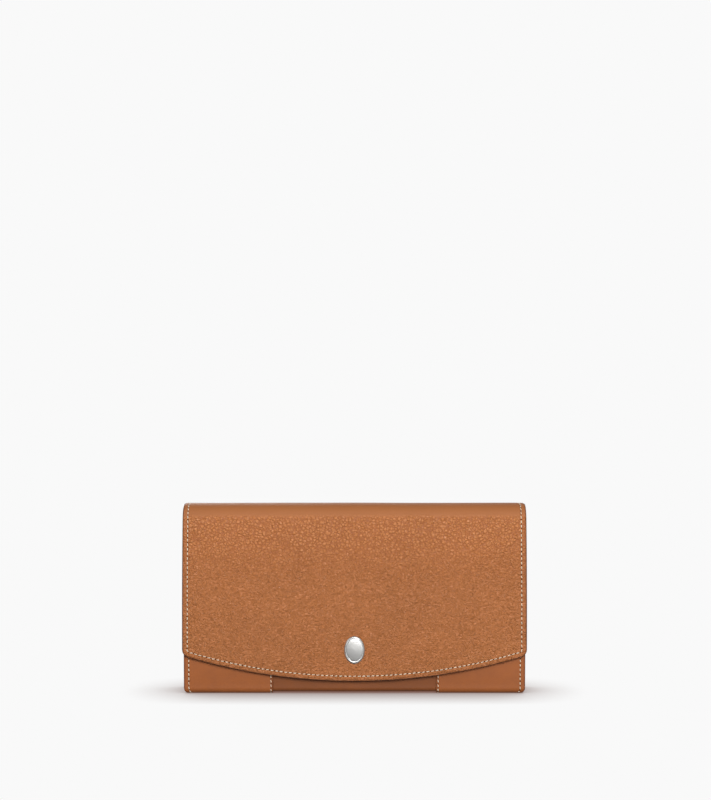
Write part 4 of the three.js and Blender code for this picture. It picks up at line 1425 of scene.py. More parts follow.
def make_coin_pocket():
    """The coin pocket's folded leather and its cloth lining."""
    finish = leather_set("inner")
    shell = trough("coin_pocket_leather", "coin_pocket_shell", 0.8 * MM, POCKET_CORNER, finish)
    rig.slot(shell, "inner_leather")
    cloth = [material("lining")] * 3
    lining = trough("coin_pocket_cloth", "coin_pocket_lining", 0.3 * MM, 1.2 * MM, cloth)
    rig.slot(lining, "lining_fabric")


def make_base():
    """The board and the cloth that lie on the wallet's base."""
    layers = (("base_cloth", "base_lining", "lining"), ("base_fibre", "base_board", "board"))
    for name, node, face in layers:
        lowest, highest = low(node), high(node)
        step = 2.4 * shape().mesh_step
        columns, rows = spread(lowest[0], highest[0], step), spread(lowest[1], highest[1], step)
        x, y = np.meshgrid(columns, rows, indexing="ij")
        rim = np.minimum(highest[0] - np.abs(x), np.minimum(y - lowest[1], highest[1] - y))
        middle = np.stack([x, y, np.full_like(x, (lowest[2] + highest[2]) / 2)], -1)
        normals = np.broadcast_to([0.0, 0.0, 1.0], middle.shape)
        finish = [material(face)] * 3
        made = slab(name, middle, normals, highest[2] - lowest[2], np.stack([x, y], -1), rim, finish)
        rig.ride(made, "body")
        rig.replaces(made, node)
        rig.slot(made, "lining_fabric" if face == "lining" else "fibreboard")


# ---------------------------------------------------------------- zip


def repeat_shape(template, faces, centres, frames, scales):
    """Copies of a small shape: each point is centre + frame @ (scale * template point)."""
    count, size = len(centres), len(template)
    scaled = template[None] * np.broadcast_to(scales, (count, 3))[:, None, :]
    points = centres[:, None, :] + np.einsum("nij,nkj->nki", frames, scaled)
    numbers = faces[None] + size * np.arange(count)[:, None, None]
    return points.reshape(-1, 3), numbers.reshape(-1, faces.shape[1])


def signed_power(value, power):
    """A power that keeps the sign."""
    return np.sign(value) * np.abs(value) ** power


def rounded_block(squareness, around, up):
    """A box with rounded edges: a superellipsoid, each sine and cosine raised to a small power.

    Its poles are small closed rings.
    """
    v = np.linspace(-np.pi / 2 * 0.999, np.pi / 2 * 0.999, up)
    u = np.arange(around) * 2 * np.pi / around + np.pi / around
    u, v = np.meshgrid(u, v)
    ring = signed_power(np.cos(v), squareness)
    x, y = ring * signed_power(np.cos(u), squareness), ring * signed_power(np.sin(u), squareness)
    points = np.stack([x, y, signed_power(np.sin(v), squareness)], -1)
    number = np.arange(points.shape[0] * points.shape[1]).reshape(points.shape[:2])
    wrapped = np.concatenate([number, number[:, :1]], axis=1)
    return points.reshape(-1, 3), grid_faces(wrapped), number[0][::-1], number[-1]


def closed_shape(name, parts, finish):
    """One object from several closed shapes, each (points, quads, caps)."""
    vertices, faces = [], []
    for points, quads, caps in parts:
        offset = len(vertices)
        vertices.extend(np.asarray(points).tolist())
        faces.extend((np.asarray(quads) + offset).tolist())
        faces.extend([(np.asarray(cap) + offset).tolist() for cap in caps])
    return make_object(name, vertices, faces, finish)


def block_at(lowest, highest, squareness=0.25):
    """A rounded block that fills a box."""
    points, quads, bottom, top = rounded_block(squareness, 24, 11)
    centre, half = (np.array(lowest) + highest) / 2, (np.array(highest) - lowest) / 2
    return centre + points * half, quads, [bottom, top]


def make_tapes():
    """The zip's two woven tapes, each an upright strip."""
    for hand in ("front", "back"):
        node = f"zip_tape_{hand}"
        lowest, highest = low(node), high(node)
        columns = spread(lowest[0], highest[0], 2 * shape().mesh_step)
        rows = spread(0, highest[2] - lowest[2], 1.2 * MM)
        x, s = np.meshgrid(columns, rows, indexing="ij")
        middle = np.stack([x, np.full_like(x, (lowest[1] + highest[1]) / 2), lowest[2] + s], -1)
        normals = np.broadcast_to([0.0, 1.0, 0.0], middle.shape)
        rim = np.minimum(x - lowest[0], highest[0] - x)
        finish = [material("tape")] * 3
        thickness = highest[1] - lowest[1]
        uv = np.stack([x, s], -1)
        made = slab(f"zip_tape_cloth_{hand}", middle, normals, thickness, uv, rim, finish)
        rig.ride(made, "coin_pocket")
        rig.replaces(made, node)
        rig.slot(made, "zip_tape")


def make_teeth():
    """The zip's teeth and end stops. Each tooth is a rounded block. The two rows interleave."""
    middle = (low("zip_teeth_front")[1] + high("zip_teeth_back")[1]) / 2
    template, quads, bottom, top = rounded_block(0.45, 12, 6)
    for hand, sign in (("front", -1), ("back", 1)):
        node = f"zip_teeth_{hand}"
        lowest, highest = low(node), high(node)
        count = int((highest[0] - lowest[0]) / TOOTH_PITCH) - 1
        x = lowest[0] + TOOTH_PITCH * (np.arange(count) + (0.75 if sign > 0 else 0.25)) + 0.4 * MM
        y, z = middle + sign * TOOTH_OFFSET, (lowest[2] + highest[2]) / 2
        centres = np.stack([x, np.full(count, y), np.full(count, z)], -1)
        half = np.array([0.43 * MM, 1.15 * MM, (highest[2] - lowest[2]) / 2])
        frames = np.broadcast_to(np.eye(3), (count, 3, 3))
        points, faces = repeat_shape(template, quads, centres, frames, half)
        size = len(template)
        caps = [ring[None] + size * np.arange(count)[:, None] for ring in (bottom, top)]
        parts = [(points, faces, [cap for caps_row in caps for cap in caps_row])]
        made = closed_shape(f"zip_teeth_row_{hand}", parts, [material("zip")])
        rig.ride(made, "coin_pocket")
        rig.replaces(made, node)
        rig.slot(made, "zip_metal")
    for node in ("zip_top_stop_front", "zip_top_stop_back", "zip_bottom_stop"):
        made = closed_shape(f"{node}_block", [block_at(low(node), high(node), 0.3)], [material("zip")])
        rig.ride(made, "coin_pocket")
        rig.replaces(made, node)
        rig.slot(made, "zip_metal")


def sweep(path, radii, ups):
    """A tube of elliptical section along a path: point + r1 * cos a * side + r2 * sin a * up."""
    path = np.asarray(path, float)
    along = unit(np.gradient(path, axis=0))
    side = unit(np.cross(along, ups))
    over = np.cross(side, along)
    around = 12
    a = np.arange(around) * 2 * np.pi / around
    radii = np.broadcast_to(radii, (len(path), 2))
    cos_part = radii[:, 0, None, None] * np.cos(a)[None, :, None] * side[:, None, :]
    sin_part = radii[:, 1, None, None] * np.sin(a)[None, :, None] * over[:, None, :]
    points = path[:, None, :] + cos_part + sin_part
    number = np.arange(points.shape[0] * around).reshape(-1, around)
    wrapped = np.concatenate([number, number[:, :1]], axis=1)
    return points.reshape(-1, 3), grid_faces(wrapped), [number[0][::-1], number[-1]]


def ring_plate(centre, outer, inner, thickness, bevel):
    """A flat plate with a hole: from its outer line to its inner line over the top, and back underneath.

    outer and inner are lines of the same number of points round the hole, in the plate's plane (x, y).
    """
    half = thickness / 2
    in_dir = unit(inner - outer)
    rings = [
        (outer, -half + bevel), (outer, half - bevel), (outer + in_dir * bevel, half),
        (inner - in_dir * bevel, half), (inner, half - bevel), (inner, -half + bevel),
        (inner - in_dir * bevel, -half), (outer + in_dir * bevel, -half),
    ]
    points = [np.column_stack([line, np.full(len(line), z)]) for line, z in rings]
    points = np.stack([*points, points[0]]) + np.asarray(centre)
    number = np.arange(len(rings) * len(outer)).reshape(len(rings), len(outer))
    number = np.concatenate([number, number[:1]])
    wrapped = np.concatenate([number, number[:, :1]], axis=1)
    return points[:-1].reshape(-1, 3), grid_faces(wrapped), []


def rounded_rectangle(long, wide, corner):
    """A rectangle with round corners: at angle a, its corner's centre + corner * (cos a, sin a)."""
    count = 64
    a = (np.arange(count) + 0.5) * 2 * np.pi / count
    corner_x = np.sign(np.cos(a)) * (long / 2 - corner)
    corner_y = np.sign(np.sin(a)) * (wide / 2 - corner)
    return np.stack([corner_x + corner * np.cos(a), corner_y + corner * np.sin(a)], -1)


def make_slider():
    """The zip's slider: two plates joined by a neck, side lips over the teeth and an arched bridge."""
    lowest, highest = low("zip_slider"), high("zip_slider")
    middle = (lowest + highest) / 2
    teeth_top = high("zip_teeth_front")[2]
    plate = teeth_top + 0.2 * MM, teeth_top + 1.0 * MM
    across = highest[1] - middle[1]
    x = np.linspace(lowest[0], highest[0], 33)
    share = (x - lowest[0]) / (highest[0] - lowest[0])
    taper = 0.78 + 0.22 * smoothstep(share, 0.15, 0.6)
    round_ends = np.sqrt(np.clip(1 - (2 * share - 1) ** 12, 0.02, 1))
    width = across * taper * round_ends
    centre_line = np.stack([x, np.full_like(x, middle[1]), np.full_like(x, sum(plate) / 2)], -1)
    upper = plate_along(centre_line, width, (plate[1] - plate[0]) / 2)
    lower_half = 0.68 * across
    lower_line = centre_line - [0, 0, centre_line[0][2] - (lowest[2] + 0.4 * MM)]
    lower = plate_along(lower_line, width * lower_half / across, 0.38 * MM)
    lips = []
    for near, far in ((-across + 0.05 * MM, -across + 0.62 * MM), (across - 0.62 * MM, across - 0.05 * MM)):
        lip_low = lowest[0] + 0.8 * MM, middle[1] + near, plate[0] - 0.6 * MM
        lip_high = highest[0] - 0.4 * MM, middle[1] + far, plate[0] + 0.3 * MM
        lips.append(block_at(lip_low, lip_high))
    neck_low = highest[0] - 3.0 * MM, middle[1] - 0.3 * MM, lowest[2] + 0.3 * MM
    neck_high = highest[0] - 0.5 * MM, middle[1] + 0.3 * MM, plate[0] + 0.2 * MM
    neck = block_at(neck_low, neck_high)
    axis = joint_place("pull_swing")
    t = np.linspace(0, np.pi, 25)
    rise = highest[2] - plate[1] - 0.25 * MM
    arch_x = axis[0] - 2.3 * MM * np.cos(t)
    arch_z = plate[1] - 0.05 * MM + rise * np.sin(t) ** 0.6
    arch = np.stack([arch_x, np.full_like(t, middle[1]), arch_z], -1)
    bridge = sweep(arch, (0.34 * MM, 0.60 * MM), np.array([0.0, 1.0, 0.0]))
    made = closed_shape("zip_slider_body", [upper, lower, *lips, neck, bridge], [material("zip")])
    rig.ride(made, "slider")
    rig.replaces(made, "zip_slider")
    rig.slot(made, "zip_metal")


def plate_along(line, half_widths, half_thickness):
    """A plate along a line: at each point a flattened superellipse of the given half width."""
    around = 20
    a = np.arange(around) * 2 * np.pi / around
    y, z = signed_power(np.cos(a), 0.45), signed_power(np.sin(a), 0.45)
    fade = np.sqrt(np.clip(half_widths / half_widths.max(), 0, 1)) ** 0.5
    points = line[:, None, :] + np.stack([
        np.zeros((len(line), around)), half_widths[:, None] * y, half_thickness * fade[:, None] * z
    ], -1)
    number = np.arange(len(line) * around).reshape(-1, around)
    wrapped = np.concatenate([number, number[:, :1]], axis=1)
    return points.reshape(-1, 3), grid_faces(wrapped), [number[0][::-1], number[-1]]


def make_pull():
    """The zip's pull: a plate with a round end and a window, on a round bar."""
    lowest, highest = low("zip_pull"), high("zip_pull")
    axis = joint_place("pull_swing")
    width = highest[1] - lowest[1]
    thickness = highest[2] - lowest[2]
    outer = rounded_rectangle(highest[0] - lowest[0] + 0.2 * MM, width, width / 2 - 0.05 * MM)
    window = rounded_rectangle(3.0 * MM, 1.9 * MM, 0.6 * MM)
    middle_x = (lowest[0] + highest[0]) / 2
    window_x = axis[0] - 2.1 * MM
    outer[:, 0] = np.minimum(outer[:, 0], highest[0] - middle_x - 0.1 * MM)
    centre = np.array([window_x, axis[1], axis[2]])
    shifted = outer + [middle_x - window_x, 0]
    plate = ring_plate(centre, shifted, window, thickness, 0.2 * MM)
    x = np.linspace(-width / 2 + 0.1 * MM, width / 2 - 0.1 * MM, 9)
    bar_line = np.stack([np.full_like(x, axis[0]), axis[1] + x, np.full_like(x, axis[2])], -1)
    bar = sweep(bar_line, (0.42 * MM, 0.42 * MM), np.array([0.0, 0.0, 1.0]))
    made = closed_shape("zip_pull_tab", [plate, bar], [material("zip")])
    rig.ride(made, "pull_tab")
    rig.replaces(made, "zip_pull")
    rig.slot(made, "zip_metal")


# ---------------------------------------------------------------- ornament and snap


def snap_axis():
    """Where the snap's axis meets the flap's face, and its directions: up the flap and outwards."""
    height = (low("flap_ornament")[2] + high("flap_ornament")[2]) / 2
    turn = float(crown_angle(height))
    outward = np.array([0.0, math.cos(turn), math.sin(turn)])
    place = np.array([0.0, float(crown_y(height, 0.0)), height])
    up = np.array([0.0, -outward[2], outward[1]])
    return place, up if up[2] > 0 else -up, outward


def turned(name, profile, finish, around=64, ovalness=(1.0, 1.0)):
    """A profile of (radius, height) points turned about the snap's axis, from pole to pole.

    ovalness stretches it across and up. The poles close with small rings.
    """
    place, up, outward = snap_axis()
    profile = np.asarray(profile, float)
    a = np.arange(around) * 2 * np.pi / around
    across = np.array([1.0, 0.0, 0.0])
    radius, height = np.maximum(profile[:, 0], 0.02 * MM), profile[:, 1]
    ring = np.cos(a)[:, None] * across * ovalness[0] + np.sin(a)[:, None] * up * ovalness[1]
    points = place + radius[:, None, None] * ring[None] + height[:, None, None] * outward
    number = np.arange(len(profile) * around).reshape(-1, around)
    wrapped = np.concatenate([number, number[:, :1]], axis=1)
    outside = np.cross(across, up) @ outward > 0
    faces = grid_faces(wrapped, flip=not outside)
    caps = [number[0], number[-1][::-1]] if not outside else [number[0][::-1], number[-1]]
    return closed_shape(name, [(points.reshape(-1, 3), faces, caps)], finish)


def eased(points):
    """A profile with its corners rounded."""
    return rounded_line(points, 0.18 * MM, 4)


def make_ornament():
    """A plain oval plate: a low dome with a satin face inside a bevel and a fine rim."""
    lowest, highest = low("flap_ornament"), high("flap_ornament")
    half_wide = (highest[0] - lowest[0]) / 2
    half_high = 7.75 * MM
    base = 0.02 * MM
    top = 1.30 * MM
    dome = np.linspace(0, 0.78, 12)
    face = np.stack([dome, 0.92 - 0.22 * dome**2 / 0.78**2], -1)
    rim = np.array([(0.80, 0.66), (0.815, 0.66), (0.83, 0.78), (0.85, 0.82), (0.88, 0.82), (0.905, 0.78)])
    bevel = np.array([(0.96, 0.52), (0.985, 0.40), (1.0, 0.26), (1.0, 0.05), (0.985, 0.0)])
    profile = np.concatenate([face, rim, bevel, [(0.0, 0.0)]])
    profile = np.stack([profile[:, 0] * half_wide, base + profile[:, 1] * (top + 0.02 * MM)], -1)[::-1]
    finish = [material("ornament")]
    made = turned("flap_ornament_plate", profile, finish, 96, (1.0, half_high / half_wide))
    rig.ride(made, "flap_front")
    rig.replaces(made, "flap_ornament")
    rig.slot(made, "ornament_metal")


def make_snap():
    """The magnetic snap: a socket in the flap's lining and a stud on the front wall."""
    lining = 2.6 * MM
    face, floor, flange = lining + 0.42 * MM, 2.06 * MM, 1.5 * MM
    socket = eased([
        (0, -floor), (2.7 * MM, -floor), (3.0 * MM, -face), (4.2 * MM, -face - 0.02 * MM),
        (5.6 * MM, -face + 0.05 * MM), (6.9 * MM, -lining - 0.1 * MM), (6.9 * MM, -flange), (0, -flange),
    ])
    made = turned("snap_socket_cap", socket, [material("snap")])
    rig.ride(made, "flap_front")
    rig.replaces(made, "snap_socket")
    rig.slot(made, "snap_metal")
    panel = panel_depth()
    stud = eased([
        (0, -panel - 1.3 * MM), (6.4 * MM, -panel - 1.3 * MM), (6.4 * MM, -panel + 0.1 * MM),
        (5.4 * MM, -panel + 0.42 * MM), (2.9 * MM, -panel + 0.44 * MM), (2.2 * MM, -panel + 0.30 * MM),
        (1.9 * MM, -panel + 1.3 * MM), (1.6 * MM, -2.32 * MM), (0, -2.31 * MM),
    ])
    made = turned("snap_stud_cap", stud, [material("snap")])
    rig.ride(made, "front_wall")
    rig.replaces(made, "snap_stud")
    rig.slot(made, "snap_metal")


# ---------------------------------------------------------------- stitching


THREAD_LIFT = 0.08 * MM
HOLE_SIZE = np.array([0.42, 0.34, 0.10]) * MM
HOLE_LIFT = 0.01 * MM
PLY_SHIFT = 0.37


def stitch_template():
    """A stitch of unit length, width and height: a half-sunk capsule whose ends dive into their holes."""
    around, along = 5, 7
    t = np.linspace(-1, 1, along)
    a = np.arange(around) * 2 * np.pi / around + 0.3
    width = np.sqrt(np.clip(1 - np.abs(t) ** 3.2, 0.12, 1))
    x = np.broadcast_to(t[:, None], (along, around))
    y = width[:, None] * np.cos(a)[None]
    z = width[:, None] * np.sin(a)[None] - 0.85 * np.abs(t[:, None]) ** 4
    points = np.stack([x, y, z], -1).reshape(-1, 3)
    number = np.arange(along * around).reshape(along, around)
    wrapped = np.concatenate([number, number[:, :1]], axis=1)
    uv = np.stack([x, np.broadcast_to(a[None] / (2 * np.pi), (along, around))], -1).reshape(-1, 2)
    return points, grid_faces(wrapped), [number[0][::-1], number[-1]], uv


def row_frames(path, place, spacing, phase=0.5):
    """Evenly spaced frames along a line of (x, s): their centres and the directions along, across and out.

    place turns (x, s) into points and outward normals.
    """
    points, _ = place(path[:, 0], path[:, 1])
    run = np.concatenate([[0], np.cumsum(np.linalg.norm(np.diff(points, axis=0), axis=1))])
    count = max(1, round(run[-1] / spacing))
    wanted = (np.arange(count) + phase) * run[-1] / count

    def at(lengths):
        return place(np.interp(lengths, run, path[:, 0]), np.interp(lengths, run, path[:, 1]))

    centres, out = at(wanted)
    small = 0.3 * MM
    along = unit(at(wanted + small)[0] - at(wanted - small)[0])
    out = unit(out - (out * along).sum(-1, keepdims=True) * along)
    return centres, along, np.cross(out, along), out


def sew(name, rows, attach, side=1):
    """Stitches and needle holes along several rows, as one object each.

    rows are (line, place) pairs. side is 1 on a sheet's outer face and -1 on its inner face. attach makes
    the finished object ride or bend.
    """
    sewing = stitching()
    for part, phase in (("thread", 0.5), ("holes", 0.0)):
        gathered = [row_frames(line, place, sewing.pitch, phase) for line, place in rows]
        centres, along, across, out = (np.concatenate(values) for values in zip(*gathered))
        out, across = side * out, side * across
        if part == "thread":
            cosine, sine = math.cos(sewing.slant * side), math.sin(sewing.slant * side)
            along, across = along * cosine + across * sine, across * cosine - along * sine
            scale = np.array([sewing.visible / 2, sewing.thread, sewing.thread])
            centres = centres + out * THREAD_LIFT
        else:
            scale = HOLE_SIZE
            centres = centres + out * HOLE_LIFT
        template, quads, caps, uv = stitch_template()
        frames = np.stack([along, across, out], -1)
        points, faces = repeat_shape(template, quads, centres, frames, scale)
        numbers = len(template) * np.arange(len(centres))[:, None]
        ends = [cap[None] + numbers for cap in caps]
        faces = faces.tolist() + np.concatenate(ends).tolist()
        shift = np.repeat(np.arange(len(centres)) * PLY_SHIFT, len(uv))
        seam_uv = np.tile(uv, (len(centres), 1)) + shift[:, None] * [0, 1]
        finish = [material("thread" if part == "thread" else "hole")]
        attach(make_object(f"{name}_{part}", points, faces, finish, uv=seam_uv))


def straight(x, start, end):
    """A line of (x, s) at one x."""
    count = 220
    return np.stack([np.full(count, float(x)), np.linspace(start, end, count)], -1)


def level(s, start, end):
    """A line of (x, s) at one s."""
    count = 120
    return np.stack([np.linspace(start, end, count), np.full(count, float(s))], -1)


def make_flap_stitching():
    """The seam round the back, the top and the flap, on the outer leather and on its lining."""
    outline = flap_outline()
    margin = stitching().margin
    edge = FlapEdge(outline, FLAP_HALF, 0.0)
    seam_s = seam_in_top(outline)

    def surface(depth):
        def place(x, s):
            rim = np.minimum(edge.distance(x, np.maximum(s, seam_s)), half_width(outline, s) - np.abs(x))
            return sheet_on(outline, x, s, depth, flap_lift(x, s, rim))
        return place

    half = FLAP_HALF - margin
    front_line = edge.seam(margin)
    corner_s = front_line[0, 1]
    path = np.concatenate([
        straight(-half, seam_s, corner_s)[:-1], front_line, straight(half, corner_s, seam_s)[1:]
    ])
    back_s = np.linspace(1.4 * MM, seam_s, 220)
    back_half = half_width(outline, back_s) - margin
    back_paths = [np.stack([sign * back_half, back_s], -1) for sign in (-1, 1)]
    for label, depth, side in (("outer", 0.0, 1), ("inner", BACK_LINING_DEPTH, -1)):
        sew(f"flap_seam_{label}", [(path, surface(depth))], bend_front, side)
        sew(f"back_seam_{label}", [(line, surface(depth)) for line in back_paths], bend_rear, side)
    foot = level(2.2 * MM, -BODY_HALF + 6 * MM, BODY_HALF - 6 * MM)
    sew("back_foot_seam", [(foot, surface(0.0))], bend_rear)


def make_front_stitching():
    """The seams of the front wall: its sides, its top edge and the inner edges of its side panels."""
    sewing = stitching()
    inner_edge = low("front_side_panel_right")[0]
    outer = overlay_depth()
    outline = front_outline(outer)
    top = SEAM_FROM_TOP

    def on_overlay(x, s):
        from_sides = np.minimum(np.abs(x) - inner_edge, BODY_HALF - np.abs(x))
        rim = np.minimum(from_sides, np.minimum(s, outline.length - s))
        return front_place(outline, x, s, 0.0, front_lift(x, s, rim, inner_edge))

    middle_outline = front_outline(panel_depth())

    def on_middle(x, s):
        rim = np.minimum(BODY_HALF - np.abs(x), s)
        return front_place(middle_outline, x, s, 0.0, front_lift(x, s, rim, None))

    end = outline.length - 1.2 * MM
    rows = []
    for sign in (-1, 1):
        for x in (inner_edge + sewing.overlay_margin, BODY_HALF - sewing.margin):
            rows.append((straight(sign * x, 2.4 * MM, end), on_overlay))
        rows.append((level(top, sign * (inner_edge + 2 * MM), sign * (BODY_HALF - 4 * MM)), on_overlay))
    rows.append((level(top, -inner_edge + 0.6 * MM, inner_edge - 0.6 * MM), on_middle))
    sew("front_seam", rows, bend_foot)
    lining_outline = crown_outline(lining_depth(), FRONT_LINING_FOOT, wall_top())

    def on_lining(x, s):
        lift = shape().waviness * 0.5 * ripple(x, s + 0.03)
        return sheet_on(lining_outline, x, s, FRONT_LINING_THICKNESS, lift)

    top_line = level(top, -BODY_HALF + 4 * MM, BODY_HALF - 4 * MM)
    sew("front_top_seam_inner", [(top_line, on_lining)], ride_on("front_wall"), -1)


def ride_on(body):
    """A function that makes a piece ride on a body."""
    return lambda made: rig.ride(made, body)


def make_inner_stitching():
    """The middle seams of the card strips and the seams along the coin pocket's zip."""
    tops = [high(f"card_strip_back_{i}")[2] for i in range(1, 5)] + [low("card_strip_back_4")[2] + 4 * MM]
    rows = []
    for i in range(4):
        y = low(f"card_strip_back_{i + 1}")[1]

        def on_strip(x, s, y=y):
            wave = shape().waviness * ripple(x, s - low("back_panel")[2])
            points = np.stack([x, y + wave, s], -1)
            return points, np.broadcast_to([0.0, -1.0, 0.0], points.shape)

        rows.append((straight(0.0, tops[i + 1] + 0.8 * MM, tops[i] - 1.8 * MM), on_strip))
    sew("card_seam", rows, ride_on("body"))
    lowest, highest = low("coin_pocket_shell"), high("coin_pocket_shell")
    outline = pocket_outline(lowest[1], highest[1], lowest[2], highest[2], POCKET_CORNER)
    half = highest[0] - 4 * MM
    ends = [level(s, -half, half) for s in (SEAM_FROM_TOP, outline.length - SEAM_FROM_TOP)]

    def on_pocket(x, s):
        return sheet_on(outline, x, s, 0.0, np.full_like(x, -0.10 * MM))

    sew("zip_seam", [(line, on_pocket) for line in ends], ride_on("coin_pocket"))


# ---------------------------------------------------------------- stage


def aim(thing, target):
    """Turns a light or camera at a point."""
    direction = np.array(target) - np.array(thing.location)
    flat = math.hypot(direction[0], direction[1])
    thing.rotation_euler = (math.atan2(flat, -direction[2]), 0, math.atan2(-direction[0], direction[1]))


def softbox(name, place, target, size, power):
    """A large soft light."""
    light = bpy.data.lights.new(name, "AREA")
    light.shape = "RECTANGLE"
    light.size, light.size_y = size
    light.energy = power
    made = bpy.data.objects.new(name, light)
    bpy.context.scene.collection.objects.link(made)
    made.location = place
    aim(made, target)
    return made


def floor_material():
    """Pale paper: nearly even to the camera, with a short shadow where something stands on it."""
    material, nodes, shader = new_material("pale_floor")
    near = nodes.add("ShaderNodeAmbientOcclusion", {"Distance": SHADOW_REACH}).outputs["AO"]
    paper = nodes.noise(place_mm(nodes), 0.02, 3.0, 0.5)
    shade = nodes.math("POWER", near, SHADOW_POWER)
    seen = nodes.mix(shade, (0.20, 0.10, 0.075, 1), (WORLD_SEEN, WORLD_SEEN, WORLD_SEEN, 1))
    seen = nodes.mix(nodes.math("MULTIPLY", paper, 0.004), seen, (0.9, 0.9, 0.9, 1))
    camera_ray = nodes.add("ShaderNodeLightPath").outputs["Is Camera Ray"]
    bounce = (FLOOR_BOUNCE, FLOOR_BOUNCE, FLOOR_BOUNCE, 1)
    glow = nodes.add("ShaderNodeEmission", {"Color": nodes.mix(camera_ray, bounce, seen)})
    output = next(node for node in material.node_tree.nodes if node.type == "OUTPUT_MATERIAL")
    nodes.put(output, "Surface", glow.outputs[0])
    material.node_tree.nodes.remove(shader)
    return material


SHADOW_REACH = 38 * MM
SHADOW_POWER = 1.3
FLOOR_BOUNCE = 0.17
WORLD_SEEN = 0.9475
WORLD_FRONT = 0.14
WORLD_BACK = 0.70
FLOOR_LINES = np.array([-900.0, -60.0, -8.0, 8.0, 60.0, 900.0])
CAMERA_LENS = 81.4
CAMERA_PLACE = (0.00055, FLAP_FACE - 1.0, 0.1630)
LIGHT_TARGET = (0, 0, 0.06)
# Each softbox: its name, its place and size in metres, and its power in watts.
SOFTBOXES = (
    ("left_softbox", (-0.85, -0.80, 0.55), (0.6, 0.6), 2.6),
    ("front_softbox", (0.30, -1.45, 0.58), (0.95, 0.60), 24.3),
    ("back_softbox", (-0.55, 1.30, 0.75), (0.95, 0.60), 13.0),
)


def make_stage():
    """A pale floor, a pale surround, soft lights and the camera."""
    lines = FLOOR_LINES
    across, along = np.meshgrid(lines, lines, indexing="ij")
    corners = np.stack([across, along, np.zeros_like(across)], -1)
    index = np.arange(lines.size ** 2).reshape(across.shape)
    finish = [floor_material()]
    floor = make_object("floor", corners.reshape(-1, 3), grid_faces(index), finish, smooth=False)
    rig.stage(floor)
    scene = bpy.context.scene
    world = bpy.data.worlds.new("pale_surround")
    world.use_nodes = True
    world.node_tree.nodes.clear()
    nodes = Nodes(world.node_tree)
    camera_ray = nodes.add("ShaderNodeLightPath").outputs["Is Camera Ray"]
    direction = nodes.add("ShaderNodeTexCoord").outputs["Generated"]
    way = nodes.add("ShaderNodeSeparateXYZ", {0: direction}).outputs
    behind = nodes.between(way[1], 0.1, 0.8)
    near_floor = nodes.between(way[2], 0.05, 0.5, 1.0, 0.0)
    glow = nodes.math("MULTIPLY", behind, near_floor)
    lit = nodes.math("MULTIPLY_ADD", glow, WORLD_BACK - WORLD_FRONT, WORLD_FRONT)
    shown = nodes.math("MULTIPLY", camera_ray, WORLD_SEEN)
    strength = nodes.math("MULTIPLY_ADD", nodes.math("SUBTRACT", 1.0, camera_ray), lit, shown)
    back = nodes.add("ShaderNodeBackground", {"Color": (1, 1, 1, 1), "Strength": strength})
    nodes.add("ShaderNodeOutputWorld", {"Surface": back.outputs[0]})
    scene.world = world
    for name, place, size, power in SOFTBOXES:
        softbox(name, place, LIGHT_TARGET, size, power)
    camera = bpy.data.cameras.new("camera")
    camera.lens = CAMERA_LENS
    camera.sensor_width = 36.0
    camera.clip_start = 0.01
    camera.clip_end = 4000.0
    made = bpy.data.objects.new("camera", camera)
    scene.collection.objects.link(made)
    made.location = CAMERA_PLACE
    made.rotation_euler = (math.pi / 2, 0, 0)
    scene.camera = made
    scene.view_settings.view_transform = "Standard"


# ---------------------------------------------------------------- operators, panel and registration


class WALLET_OT_stage(bpy.types.Operator):
    """Place the floor, the lights and the camera"""

    bl_idname = "wallet.stage"
    bl_label = "Stage"

    def execute(self, context):
        make_stage()
        return {"FINISHED"}


class WALLET_OT_outer_leather(bpy.types.Operator):
    """Make the grained leather of the back, the top and the flap"""

    bl_idname = "wallet.outer_leather"
    bl_label = "Outer leather"

    def execute(self, context):
        make_outer_leather()
        return {"FINISHED"}


class WALLET_OT_linings(bpy.types.Operator):
    """Make the linings of the back and the flap"""

    bl_idname = "wallet.linings"
    bl_label = "Linings"

    def execute(self, context):
        make_outer_linings()
        return {"FINISHED"}


class WALLET_OT_front_wall(bpy.types.Operator):
    """Make the front wall's panels and lining, and the base's layers"""

    bl_idname = "wallet.front_wall"
    bl_label = "Front wall and base"

    def execute(self, context):
        make_front_wall()
        make_base()
        return {"FINISHED"}


class WALLET_OT_card_strips(bpy.types.Operator):
    """Make the card strips"""

    bl_idname = "wallet.card_strips"
    bl_label = "Card strips"

    def execute(self, context):
        make_card_strips()
        return {"FINISHED"}


class WALLET_OT_gussets(bpy.types.Operator):
    """Make the pleated gussets"""

    bl_idname = "wallet.gussets"
    bl_label = "Gussets"

    def execute(self, context):
        make_gussets()
        return {"FINISHED"}


class WALLET_OT_coin_pocket(bpy.types.Operator):
    """Make the coin pocket and its lining"""

    bl_idname = "wallet.coin_pocket"
    bl_label = "Coin pocket"

    def execute(self, context):
        make_coin_pocket()
        return {"FINISHED"}


class WALLET_OT_zip(bpy.types.Operator):
    """Make the zip's tapes, teeth, stops, slider and pull"""

    bl_idname = "wallet.zip"
    bl_label = "Zip"

    def execute(self, context):
        make_tapes()
        make_teeth()
        make_slider()
        make_pull()
        return {"FINISHED"}


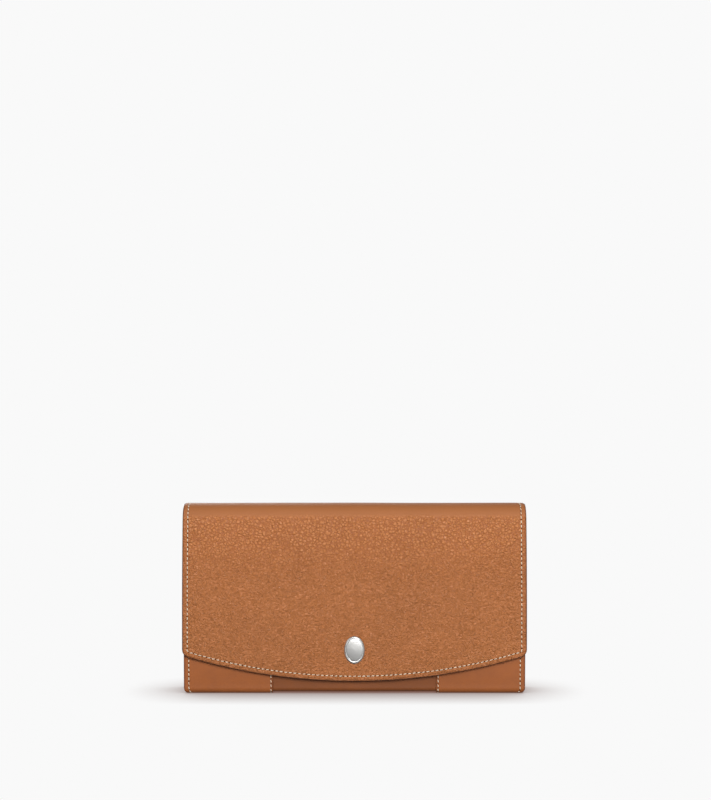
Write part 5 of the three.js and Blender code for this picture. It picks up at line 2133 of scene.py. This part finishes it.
class WALLET_OT_ornament(bpy.types.Operator):
    """Make the flap's oval ornament and the snap behind it"""

    bl_idname = "wallet.ornament"
    bl_label = "Ornament and snap"

    def execute(self, context):
        make_ornament()
        make_snap()
        return {"FINISHED"}


class WALLET_OT_stitching(bpy.types.Operator):
    """Sew the flap, the front wall, the card strips and the zip"""

    bl_idname = "wallet.stitching"
    bl_label = "Stitching"

    def execute(self, context):
        make_flap_stitching()
        make_front_stitching()
        make_inner_stitching()
        return {"FINISHED"}


OPERATORS = (
    WALLET_OT_stage, WALLET_OT_outer_leather, WALLET_OT_linings, WALLET_OT_front_wall,
    WALLET_OT_card_strips, WALLET_OT_gussets, WALLET_OT_coin_pocket, WALLET_OT_zip,
    WALLET_OT_ornament, WALLET_OT_stitching,
)


class WALLET_PT_panel(bpy.types.Panel):
    """Lists the wallet's settings and pieces"""

    bl_idname = "WALLET_PT_panel"
    bl_label = "Long Flap Wallet"
    bl_space_type = "VIEW_3D"
    bl_region_type = "UI"
    bl_category = "Wallet"

    def draw(self, context):
        for name, group in GROUPS.items():
            box = self.layout.box()
            for setting in group.__annotations__:
                box.prop(getattr(context.scene, name), setting)
        for operator in OPERATORS:
            self.layout.operator(operator.bl_idname)


CLASSES = (*GROUPS.values(), *OPERATORS, WALLET_PT_panel)


def register():
    """Adds the settings, the operators and the panel."""
    for one in CLASSES:
        bpy.utils.register_class(one)
    for name, group in GROUPS.items():
        setattr(bpy.types.Scene, name, bpy.props.PointerProperty(type=group))


def unregister():
    """Takes them away again."""
    for name in GROUPS:
        delattr(bpy.types.Scene, name)
    for one in reversed(CLASSES):
        bpy.utils.unregister_class(one)


def main():
    """Makes every piece in order and writes the sizes."""
    register()
    for operator in OPERATORS:
        group, name = operator.bl_idname.split(".")
        getattr(getattr(bpy.ops, group), name)()
    sizes = {"cad": CAD_BOX, "visual": [list(corner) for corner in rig.bounds()]}
    with open(SIZE_FILE, "w") as file:
        json.dump(sizes, file, indent=1)


if __name__ == "__main__":
    main()
